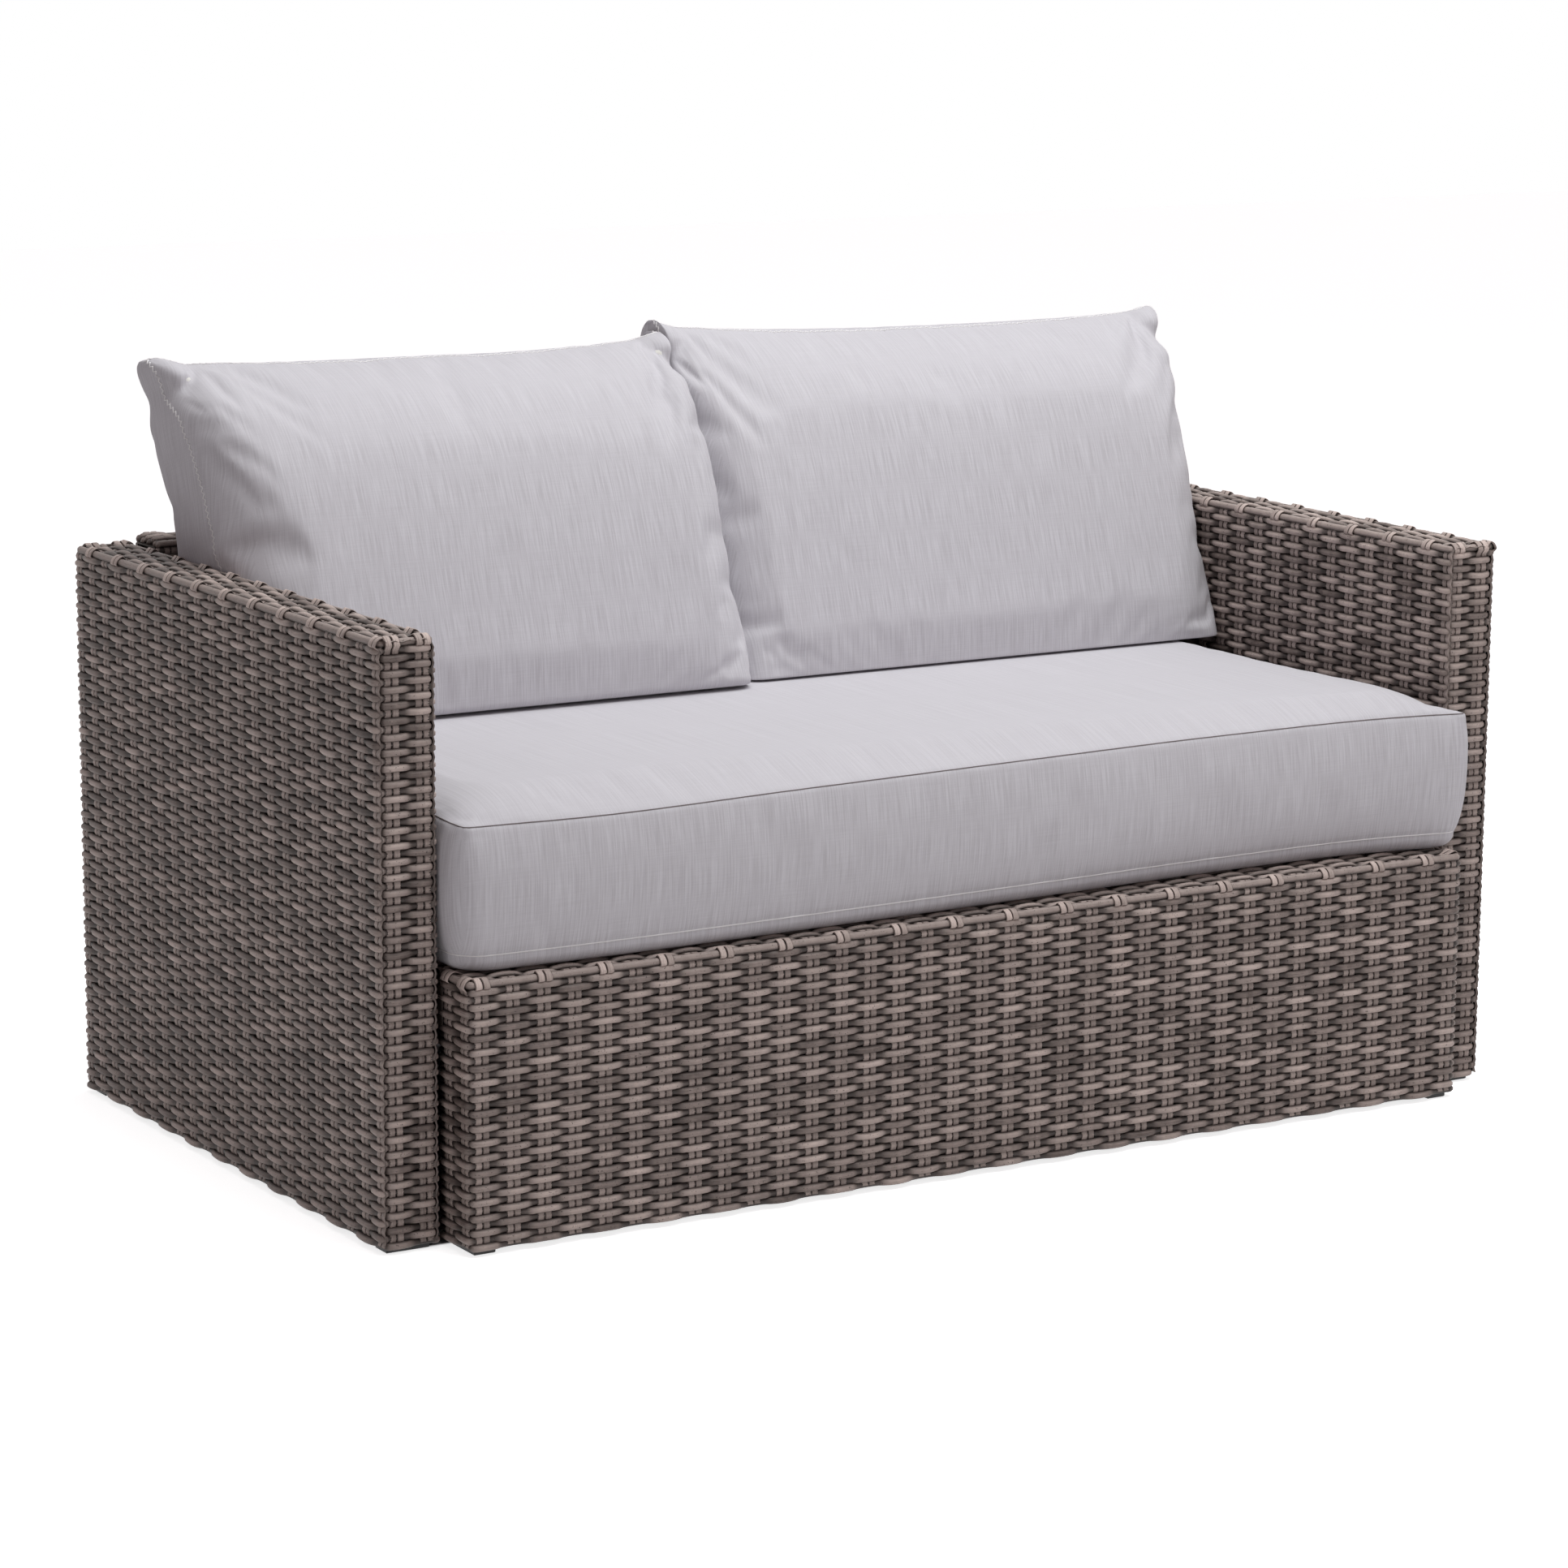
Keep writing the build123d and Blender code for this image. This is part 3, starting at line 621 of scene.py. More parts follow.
def make_arm(side):
    """One woven box arm: walls, borders, top rows and ribs."""
    sign = 1 if side == "right" else -1
    rng = np.random.default_rng(arm_seeds[side])
    face, rear, top = arm_high
    inside, front, base = arm_low
    thick, depth = face - inside, rear - front
    inward, outer = -sign * X_AXIS, sign * face * X_AXIS
    corners = [(0, front), (thick, front), (thick, rear), (0, rear)]
    plan = Track(corners, edge_radius, closed=True)
    end_step = (depth - 2 * end_rib) / (side_ribs - 1)
    side_places = [end_rib + end_step * j for j in range(side_ribs)]
    places = [plan.spot(0, d) for d in front_ribs] + [plan.spot(1, d) for d in side_places]
    places += [plan.spot(2, thick - d) for d in reversed(front_ribs)]
    places += [plan.spot(3, d) for d in side_places]
    heights = np.linspace(first_row, top - edge_radius - row_half, arm_rows)
    walls = [Strands(), Strands()]
    lay_rows(walls, plan, Plane(outer, inward, Y_AXIS), places, heights, rng)
    trim = Strands()
    inset = border_inset
    near, far, ahead, behind = inset, thick - inset, front + inset, rear - inset
    ring = [(near, ahead), (far, ahead), (far, behind), (near, behind)]
    rim = Track(ring, edge_radius - inset, closed=True)
    lay_border(trim, rim, Plane(outer + (top - inset) * Z_AXIS, inward, Y_AXIS), rng, Z_AXIS)
    step = (thick - 2 * edge_radius) / top_rows
    length = [(rear - edge_radius, top - tuck_end), (rear - edge_radius, top)]
    length += [(front + edge_radius, top), (front + edge_radius, top - tuck_end)]
    along = Track(length, tuck_radius)
    crossings = [along.spot(1, rear - edge_radius - front - d) for d in reversed(side_places)]
    for r in range(top_rows):
        from_inner = thick - edge_radius - (r + 0.5) * step
        run = Plane(outer + inward * from_inner, Y_AXIS, Z_AXIS)
        lay_weaver(trim, along, run, crossings, r + 1, rng, flat=True)
    ribs = Strands()
    profile = Track([(thick, base), (thick, top), (0, top), (0, base)], edge_radius)
    marks = [profile.spot(0, z - base) for z in heights] + [0]
    marks += [profile.spot(1, edge_radius + (r + 0.5) * step) for r in range(top_rows)] + [1]
    marks += [profile.spot(2, top - z) for z in reversed(heights)]
    for j, d in enumerate(side_places):
        spots, levels = wrap_borders(profile, marks, crossing_levels(2 + j, len(marks)))
        lay_ribs(ribs, profile, Plane(outer + (front + d) * Y_AXIS, inward, Z_AXIS), spots, levels, rng)
    middle = outer + (front + rear) / 2 * Y_AXIS
    lay_shade_sheet(ribs, profile, Plane(middle, inward, Z_AXIS), depth - 2 * edge_radius)
    for y, facing in ((front, -Y_AXIS), (rear, Y_AXIS)):
        middle = outer + inward * thick / 2 + y * Y_AXIS
        shade_sheet_end(ribs, middle, facing, base, top, thick - 2 * edge_radius)
    last = 2 * len(front_ribs) + side_ribs - 1
    for k, d in enumerate(front_ribs):
        for y, facing, first in ((front, -Y_AXIS, k), (rear, Y_AXIS, last - k)):
            end = Plane(outer + inward * d + y * Y_AXIS, facing, Z_AXIS)
            fold_over(ribs, end, heights, top, base, first, rng)
    made = [walls[0].mesh(side + "_arm_weave_lower"), walls[1].mesh(side + "_arm_weave_upper")]
    made += [trim.mesh(side + "_arm_border_and_top"), ribs.mesh(side + "_arm_ribs")]
    finish_wicker(made, side + "_arm_wicker")


def cross_track(half):
    """The way of a strand across the seat, both ends turned in, and where it meets the ribs."""
    track = Track([(half, -tuck_end), (half, 0), (-half, 0), (-half, -tuck_end)], tuck_radius)
    return track, [track.spot(1, half - x) for x in reversed(wide_places)]


def slice_at(x):
    """The upright plane from front to back at x, in which a profile lies."""
    return Plane(x * X_AXIS, Y_AXIS, Z_AXIS)


def across_plane(profile, spot):
    """The plane of a strand that crosses the seat at one place of a profile."""
    points, out = profile.at([spot])
    centre, normal = slice_at(0).place(points, out)
    return Plane(centre[0], X_AXIS, normal[0])


def make_apron():
    """The woven apron box, which turns back at both ends and over its top."""
    rng = np.random.default_rng(apron_seed)
    half, rear, top = apron_high
    front, base = apron_low[1:]
    plan = Track([(-half, rear), (-half, front), (half, front), (half, rear)], edge_radius)
    depth = rear - front
    places = [plan.spot(0, depth - d) for d in reversed(apron_side_ribs)]
    places += [plan.spot(1, x + half) for x in wide_places]
    places += [plan.spot(2, d) for d in apron_side_ribs]
    heights = np.linspace(first_row, top - edge_radius - row_half, apron_rows)
    weave = Strands()
    lay_rows([weave], plan, Plane((0, 0, 0), X_AXIS, Y_AXIS), places, heights, rng)
    trim = Strands()
    inset = border_inset
    edge, ahead = half - inset, front + inset
    rim = Track([(-edge, rear), (-edge, ahead), (edge, ahead), (edge, rear)], edge_radius - inset)
    lay_border(trim, rim, Plane((top - inset) * Z_AXIS, X_AXIS, Y_AXIS), rng, Z_AXIS)
    profile = Track([(rear, top), (front, top), (front, base)], edge_radius)
    step = (depth - edge_radius) / top_rows
    across, crossings = cross_track(half - edge_radius)
    tops = [profile.spot(0, depth - edge_radius - (r + 0.5) * step) for r in range(top_rows)]
    for r, spot in enumerate(tops):
        lay_weaver(trim, across, across_plane(profile, spot), crossings, r + 1, rng, flat=True)
    ribs = Strands()
    marks = [profile.spot(1, top - z) for z in heights] + [0] + tops
    for k, x in enumerate(wide_places):
        levels = crossing_levels(len(apron_side_ribs) + k, len(marks))
        lay_ribs(ribs, profile, slice_at(x), *wrap_borders(profile, marks, levels), rng)
    lay_shade_sheet(ribs, profile, slice_at(0), 2 * (half - edge_radius))
    for facing in (-X_AXIS, X_AXIS):
        middle = half * facing + (front + edge_radius + rear) / 2 * Y_AXIS
        shade_sheet_end(ribs, middle, facing, base, top, depth - edge_radius)
    last = wide_ribs + 2 * len(apron_side_ribs) - 1
    for k, d in enumerate(reversed(apron_side_ribs)):
        at_y = (front + d) * Y_AXIS
        fold_over(ribs, Plane(at_y - half * X_AXIS, -X_AXIS, Z_AXIS), heights, top, base, k, rng)
        fold_over(ribs, Plane(at_y + half * X_AXIS, X_AXIS, Z_AXIS), heights, top, base, last - k, rng)
    made = [weave.mesh("apron_weave"), trim.mesh("apron_border_and_top"), ribs.mesh("apron_ribs")]
    finish_wicker(made, "apron_wicker")


def make_deck():
    """The woven deck under the seat cushion, in wider strands."""
    rng = np.random.default_rng(deck_seed)
    front, (rear, top) = deck_low[1], deck_high[1:]
    profile = Track([(rear, top), (front, top)], edge_radius)
    rows = round((rear - front) / deck_pitch)
    step = (rear - front) / rows
    half = apron_high[0] - edge_radius
    across, crossings = cross_track(half)
    spots = [profile.length - (r + 0.5) * step for r in range(rows)]
    weave, ribs = Strands(), Strands()
    looks = {"wide": step - deck_gap, "flat": True}
    for r, spot in enumerate(spots):
        lay_weaver(weave, across, across_plane(profile, spot), crossings, r + 1, rng, **looks)
    for k, x in enumerate(wide_places):
        lay_ribs(ribs, profile, slice_at(x), spots, crossing_levels(k, len(spots)), rng)
    lay_shade_sheet(ribs, profile, slice_at(0), 2 * half)
    finish_wicker([weave.mesh("deck_weave"), ribs.mesh("deck_ribs")], "seat_deck")


def make_back():
    """The woven back: rear wall, rounded top, lip and raked panel in one skin."""
    rng = np.random.default_rng(back_seed)
    half, rear, top = back_high
    front, base = back_low[1:]
    lip, foot = panel_high[2], panel_low[1:]
    profile = Track([(rear, base), (rear, top), (front, top), (front, lip), foot], edge_radius)
    across, crossings = cross_track(half)
    heights = np.linspace(first_row, top - edge_radius - row_half, back_rows)
    step = (rear - front - 2 * edge_radius) / top_rows
    lip_step = (top - edge_radius - lip) / lip_rows
    panel_run = profile.length - profile.starts[3]
    panel_step = panel_run / panel_rows
    spots = [profile.spot(0, z - base) for z in heights] + [0]
    spots += [profile.spot(1, edge_radius + (r + 0.5) * step) for r in range(top_rows)] + [1]
    spots += [profile.spot(2, edge_radius + (r + 0.5) * lip_step) for r in range(lip_rows)]
    panel_first = len(spots)
    spots += [profile.starts[3] + (r + 0.5) * panel_step for r in range(panel_rows)]
    wall, panel, trim = Strands(), Strands(), Strands()
    for i, spot in enumerate(spots):
        if isinstance(spot, int):
            run = across_plane(profile, sum(profile.arcs[spot]) / 2)
            lay_border(trim, across, run, rng)
            continue
        part = wall if i < back_rows else trim if i < panel_first else panel
        lay_weaver(part, across, across_plane(profile, spot), crossings, i, rng)
    ribs, panel_ribs = Strands(), Strands()
    for m, x in enumerate(reversed(wide_places)):
        levels = crossing_levels(m, len(spots))
        shell = wrap_borders(profile, spots[:panel_first], levels[:panel_first])
        lay_ribs(ribs, profile, slice_at(x), *shell, rng)
        lay_ribs(panel_ribs, profile, slice_at(x), spots[panel_first:], levels[panel_first:], rng)
    lay_shade_sheet(ribs, profile, slice_at(0), 2 * (half - edge_radius))
    made = [wall.mesh("back_weave"), trim.mesh("back_border_and_top"), ribs.mesh("back_ribs")]
    finish_wicker(made, "back_outer_wicker")
    made = [panel.mesh("back_panel_weave"), panel_ribs.mesh("back_panel_ribs")]
    finish_wicker(made, "back_inner_wicker")


def link(thing):
    """Puts a new object into the scene."""
    bpy.context.scene.collection.objects.link(thing)
    return thing


def place_node(tree, kind, inputs=None, **settings):
    """A node with its settings and the values or links of its inputs."""
    node = tree.nodes.new(kind)
    for name, value in settings.items():
        setattr(node, name, value)
    for name, value in (inputs or {}).items():
        if isinstance(value, bpy.types.NodeSocket):
            tree.links.new(value, node.inputs[name])
        else:
            node.inputs[name].default_value = value
    return node


def math_node(tree, operation, *values, clamp=False):
    """The result of a sum on numbers or sockets."""
    inputs = {i: v for i, v in enumerate(values)}
    return place_node(tree, "ShaderNodeMath", inputs, operation=operation, use_clamp=clamp).outputs[0]


def mix_colours(tree, share, first, second):
    """A colour between two, by a share."""
    node = place_node(tree, "ShaderNodeMix", {0: share, 6: first, 7: second}, data_type="RGBA")
    return node.outputs[2]


def spread(tree, value, low, high, to_low=0.0, to_high=1.0):
    """A value brought from one range to another, and held inside it."""
    inputs = {"Value": value, "From Min": low, "From Max": high, "To Min": to_low, "To Max": to_high}
    return place_node(tree, "ShaderNodeMapRange", inputs).outputs["Result"]


def noise(tree, vector, scale, detail=2.0, roughness=0.5):
    """Cloudy variation from 0 to 1."""
    inputs = {"Vector": vector, "Scale": scale, "Detail": detail, "Roughness": roughness}
    return place_node(tree, "ShaderNodeTexNoise", inputs).outputs[0]


def plus(tree, first, second):
    """The sum of two numbers or sockets."""
    return math_node(tree, "ADD", first, second)


def times(tree, first, second):
    """The product of two numbers or sockets."""
    return math_node(tree, "MULTIPLY", first, second)


def less(tree, first, second):
    """The first number or socket less the second."""
    return math_node(tree, "SUBTRACT", first, second)


def stretched(tree, vector, *scales):
    """A place scaled by its own number in each direction."""
    node = place_node(tree, "ShaderNodeVectorMath", {0: vector, 1: scales}, operation="MULTIPLY")
    return node.outputs[0]


def facing_parts(tree):
    """The X, Y and Z of the way a surface faces."""
    normal = place_node(tree, "ShaderNodeNewGeometry").outputs["Normal"]
    return place_node(tree, "ShaderNodeSeparateXYZ", {0: normal}).outputs


def new_group(name, inputs, outputs):
    """A shared effect: a node group with named inputs and outputs."""
    tree = bpy.data.node_groups.new(name, "ShaderNodeTree")
    for word, kind, value in inputs:
        socket = tree.interface.new_socket(name=word, in_out="INPUT", socket_type="NodeSocket" + kind)
        if value is not None:
            socket.default_value = value
    for word, kind in outputs:
        tree.interface.new_socket(name=word, in_out="OUTPUT", socket_type="NodeSocket" + kind)
    return tree, tree.nodes.new("NodeGroupInput").outputs, tree.nodes.new("NodeGroupOutput").inputs


def grain_group():
    """Streaks along a strand, cloudy patches and dark specks of drawn resin."""
    inputs = [("Place", "Vector", None)]
    inputs += [("Along", "Float", 0.0), ("Across", "Float", 0.0), ("Specks", "Float", 0.5)]
    outputs = [("Shade", "Float"), ("Speck", "Float"), ("Height", "Float")]
    tree, given, put = new_group("Resin grain", inputs, outputs)
    line = place_node(tree, "ShaderNodeCombineXYZ", {"X": given["Along"], "Y": given["Across"]}).outputs[0]
    streaks = noise(tree, stretched(tree, line, *streak_scales), 1.0, 3.0, 0.6)
    patches = noise(tree, given["Place"], patch_scale, 2.0, 0.55)
    shade = plus(tree, times(tree, streaks, streak_share), times(tree, patches, patch_share))
    spots = noise(tree, given["Place"], spot_scale, 1.0, 0.5)
    speck = times(tree, spread(tree, spots, *spot_range), given["Specks"])
    tree.links.new(shade, put["Shade"])
    tree.links.new(speck, put["Speck"])
    tree.links.new(less(tree, times(tree, streaks, streak_relief), speck), put["Height"])
    return tree


def slub_group():
    """Linen-like cloth: fine uneven threads down the panel, broad soft bands and a faint weft across it."""
    inputs = [("Place", "Vector", None)]
    inputs += [("Fine", "Float", 600.0), ("Long", "Float", 18.0), ("Depth", "Float", 1.0)]
    tree, given, put = new_group("Slub cloth", inputs, [("Streak", "Float"), ("Height", "Float")])
    parts = place_node(tree, "ShaderNodeSeparateXYZ", {0: given["Place"]}).outputs
    facing = facing_parts(tree)
    sideways = spread(tree, math_node(tree, "ABSOLUTE", facing["X"]), *sideways_range)
    lying = spread(tree, math_node(tree, "ABSOLUTE", facing["Z"]), *lying_range)
    across = place_node(tree, "ShaderNodeMix", {0: sideways, 2: parts["X"], 3: parts["Y"]}).outputs[0]
    down = plus(tree, parts["Z"], times(tree, parts["Y"], warp_slant))
    warp = [times(tree, across, given["Fine"]), times(tree, down, given["Long"])]
    threads = place_node(tree, "ShaderNodeCombineXYZ", dict(zip("XY", warp))).outputs[0]
    fine = noise(tree, threads, 1.0, 2.0, 0.6)
    broad = noise(tree, stretched(tree, threads, *broad_scales), 1.0, 2.0, 0.55)
    weft = noise(tree, stretched(tree, threads, *weft_scales), 1.0, 1.0, 0.5)
    streak = plus(tree, times(tree, fine, fine_share), times(tree, broad, broad_share))
    streak = plus(tree, streak, times(tree, weft, weft_share))
    calm = spread(tree, lying, 0.0, 1.0, 1.0, lying_calm)
    streak = times(tree, less(tree, streak, 0.5), calm)
    height = plus(tree, times(tree, fine, fine_relief), times(tree, weft, weft_relief))
    tree.links.new(plus(tree, streak, 0.5), put["Streak"])
    tree.links.new(times(tree, height, given["Depth"]), put["Height"])
    return tree


def dust_group():
    """Dust and light wear: pale dust on faces that look up, rubbed patches and a fine grain."""
    inputs = [("Place", "Vector", None), ("Grain", "Float", 900.0), ("Amount", "Float", 0.5)]
    tree, given, put = new_group("Dust and wear", inputs, [("Dust", "Float"), ("Height", "Float")])
    patches = spread(tree, noise(tree, given["Place"], dust_scale, 4.0, 0.6), *dust_range)
    lying = spread(tree, facing_parts(tree)["Z"], -0.4, 1.0, 0.25, 1.0)
    dust = times(tree, times(tree, patches, lying), given["Amount"])
    tree.links.new(dust, put["Dust"])
    tree.links.new(noise(tree, given["Place"], given["Grain"], 2.0, 0.5), put["Height"])
    return tree


def colour(red, green, blue):
    """A colour for a socket, from its eight-bit screen numbers."""
    shares = [c / 255 for c in (red, green, blue)]
    linear = [s / 12.92 if s <= 0.04 else ((s + 0.055) / 1.055) ** 2.4 for s in shares]
    return (*linear, 1.0)


def new_material(name, roughness, metallic=0.0, sheen=0.0, specular=0.5):
    """A material with its shader, its node tree and the place in the part's own frame."""
    material = bpy.data.materials.new(name)
    material.use_nodes = True
    tree = material.node_tree
    shader = tree.nodes["Principled BSDF"]
    shader.inputs["Roughness"].default_value = roughness
    shader.inputs["Metallic"].default_value = metallic
    shader.inputs["Sheen Weight"].default_value = sheen
    shader.inputs["Specular IOR Level"].default_value = specular
    place = tree.nodes.new("ShaderNodeTexCoord").outputs["Object"]
    return material, tree, shader, place


def add_bump(tree, shader, height, strength, distance):
    """Bump from a height."""
    inputs = {"Height": height, "Strength": strength, "Distance": distance}
    node = place_node(tree, "ShaderNodeBump", inputs)
    tree.links.new(node.outputs[0], shader.inputs["Normal"])


def wicker_material(name, ribbed):
    """Matt resin strand, taupe tones with specks, smooth as a weaver or ribbed as a rib, with painted shade
    at its edges and deep parts.
    """
    material, tree, shader, place = new_material(name, 0.6, specular=0.35)
    tone, across, along, deep = (
        place_node(tree, "ShaderNodeAttribute", attribute_name=word).outputs["Fac"]
        for word in ("tone", "across", "along", "deep")
    )
    grain = place_node(tree, "ShaderNodeGroup", node_tree=groups["grain"])
    for word, socket in (("Place", place), ("Along", along), ("Across", across)):
        tree.links.new(socket, grain.inputs[word])
    grain.inputs["Specks"].default_value = rib_specks if ribbed else strand_specks
    shade = plus(tree, times(tree, grain.outputs["Shade"], grain_share), times(tree, tone, tone_share))
    base = mix_colours(tree, spread(tree, shade, *shade_range), colour(*strand_dark), colour(*strand_light))
    base = mix_colours(tree, grain.outputs["Speck"], base, colour(*strand_speck))
    # Painted shade along the strand's edges
    painted_rim_from = rib_painted_rim_from if ribbed else strand_painted_rim_from
    rim = spread(tree, math_node(tree, "ABSOLUTE", across), painted_rim_from, 1.0, 0.0, painted_rim_shade)
    # Painted shade: darker at the strand's edges and where it lies deep in the weave
    painted_shade = math_node(tree, "MAXIMUM", times(tree, deep, painted_depth_shade), rim)
    base = mix_colours(tree, painted_shade, base, colour(*painted_shade_colour))
    tree.links.new(base, shader.inputs["Base Color"])
    gloss = spread(tree, grain.outputs["Shade"], 0.3, 0.7, *strand_roughness)
    tree.links.new(gloss, shader.inputs["Roughness"])
    height = grain.outputs["Height"]
    if ribbed:
        wave = math_node(tree, "COSINE", times(tree, across, 3 * math.pi))
        height = plus(tree, height, times(tree, wave, rib_relief))
    add_bump(tree, shader, height, 0.5, strand_bump)
    return material


def cloth_material(name, depth=1.0):
    """Pale greige outdoor cloth with linen-like slubs."""
    material, tree, shader, place = new_material(name, 0.88, sheen=0.12, specular=0.2)
    slub = place_node(tree, "ShaderNodeGroup", node_tree=groups["slub"])
    tree.links.new(place, slub.inputs["Place"])
    slub.inputs["Depth"].default_value = depth
    share = spread(tree, slub.outputs["Streak"], *slub_range)
    base = mix_colours(tree, share, colour(*cloth_dark), colour(*cloth_light))
    tree.links.new(base, shader.inputs["Base Color"])
    add_bump(tree, shader, slub.outputs["Height"], 0.25, cloth_bump)
    return material


def plain_material(name, dark, light, roughness, metallic=0.0, grain=900.0, dust=0.4):
    """A moulded, coated or plated surface with grain, rubbed patches and dust."""
    material, tree, shader, place = new_material(name, roughness, metallic)
    worn = place_node(tree, "ShaderNodeGroup", node_tree=groups["dust"])
    tree.links.new(place, worn.inputs["Place"])
    worn.inputs["Grain"].default_value = grain
    worn.inputs["Amount"].default_value = dust
    base = mix_colours(tree, worn.outputs["Dust"], colour(*dark), colour(*light))
    tree.links.new(base, shader.inputs["Base Color"])
    dusty = min(1.0, roughness + dust_dulling)
    gloss = spread(tree, worn.outputs["Dust"], 0.0, 0.6, roughness, dusty)
    tree.links.new(gloss, shader.inputs["Roughness"])
    add_bump(tree, shader, worn.outputs["Height"], 0.25, wear_bump)
    return material


def declare(piece, look, body, node=None):
    """Gives a piece its material, its body and the node that it stands for."""
    piece.data.materials.append(materials[look])
    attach(piece, body)
    if node:
        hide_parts(node)


def finish_wicker(made, node):
    """The woven pieces that stand for one woven skin of the frame."""
    for piece in made:
        look = "rib" if piece.name.endswith("ribs") else "strand"
        declare(piece, look, "frame", node)


def dress_nodes():
    """Materials of the frame's own parts, by the last word of their names. What is left is tube."""
    looks = {
        "glides": "plastic", "spacers": "plastic", "bolts": "zinc", "washers": "zinc", "nuts": "zinc",
        "foam": "fill", "fill": "fill", "zip": "tape", "cover": "cloth",
        "wicker": "strand", "deck": "strand",
    }
    for name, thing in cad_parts.items():
        thing.data.materials.clear()
        thing.data.materials.append(materials[looks.get(name.split("_")[-1], "coat")])


def round_plan(x, y, half_x, half_y, radius):
    """Squares the corner zones of a grid up to round corners."""
    over_x, over_y = np.abs(x) - (half_x - radius), np.abs(y) - (half_y - radius)
    both = (over_x > 0) & (over_y > 0)
    longest, reach = np.maximum(over_x, over_y), np.maximum(np.hypot(over_x, over_y), 1e-9)
    scale = np.where(both, longest / reach, 1.0)
    new_x = np.where(both, half_x - radius + over_x * scale, np.abs(x))
    new_y = np.where(both, half_y - radius + over_y * scale, np.abs(y))
    return np.sign(x) * new_x, np.sign(y) * new_y


def grid_faces(first, columns, rows, flip=False):
    """Quads of a grid of points that were laid row by row."""
    i, j = np.meshgrid(np.arange(columns - 1), np.arange(rows - 1))
    a = (first + j * columns + i).reshape(-1)
    quads = np.stack([a, a + 1, a + 1 + columns, a + columns], 1)
    return quads[:, ::-1] if flip else quads


def seat_outline(across, deep, inset, radius, half_x, half_y):
    """A level of the seat cushion in plan: round corners, drawn-in sides and an uneven front edge."""
    wide, long = half_x - inset, half_y - inset
    x, y = round_plan(across * wide, deep * long, wide, long, radius)
    x = x - np.sign(across) * seat_draw_in * np.abs(across) ** 3 * (1 - deep ** 2)
    y = y - np.sign(deep) * seat_draw_in * seat_rear_draw * np.abs(deep) ** 3 * (1 - across ** 2)
    ahead = np.clip((-deep - seat_arm_share) / (1 - seat_arm_share), 0, 1)
    swell = np.where(across < 0, seat_end_swells[-1], seat_end_swells[1])
    wave = smooth_line(across, seat_front_waves)
    return x + np.sign(across) * swell * np.abs(across) ** 3 * ahead, y - wave * np.clip(-deep, 0, 1) ** 3


def smooth_line(x, marks):
    """A smooth line through chosen marks."""
    at, values = (np.array(column, float) for column in zip(*marks))
    slopes = np.gradient(values, at)
    k = np.clip(np.searchsorted(at, x, side="right") - 1, 0, len(at) - 2)
    step = at[k + 1] - at[k]
    t = np.clip((x - at[k]) / step, 0, 1)
    low = (1 + 2 * t) * (1 - t) ** 2 * values[k] + t * (1 - t) ** 2 * step * slopes[k]
    return low + t * t * (3 - 2 * t) * values[k + 1] + t * t * (t - 1) * step * slopes[k + 1]


def rise_and_fall(x, pace, start):
    """A wave along x."""
    return np.sin(x * pace + start)


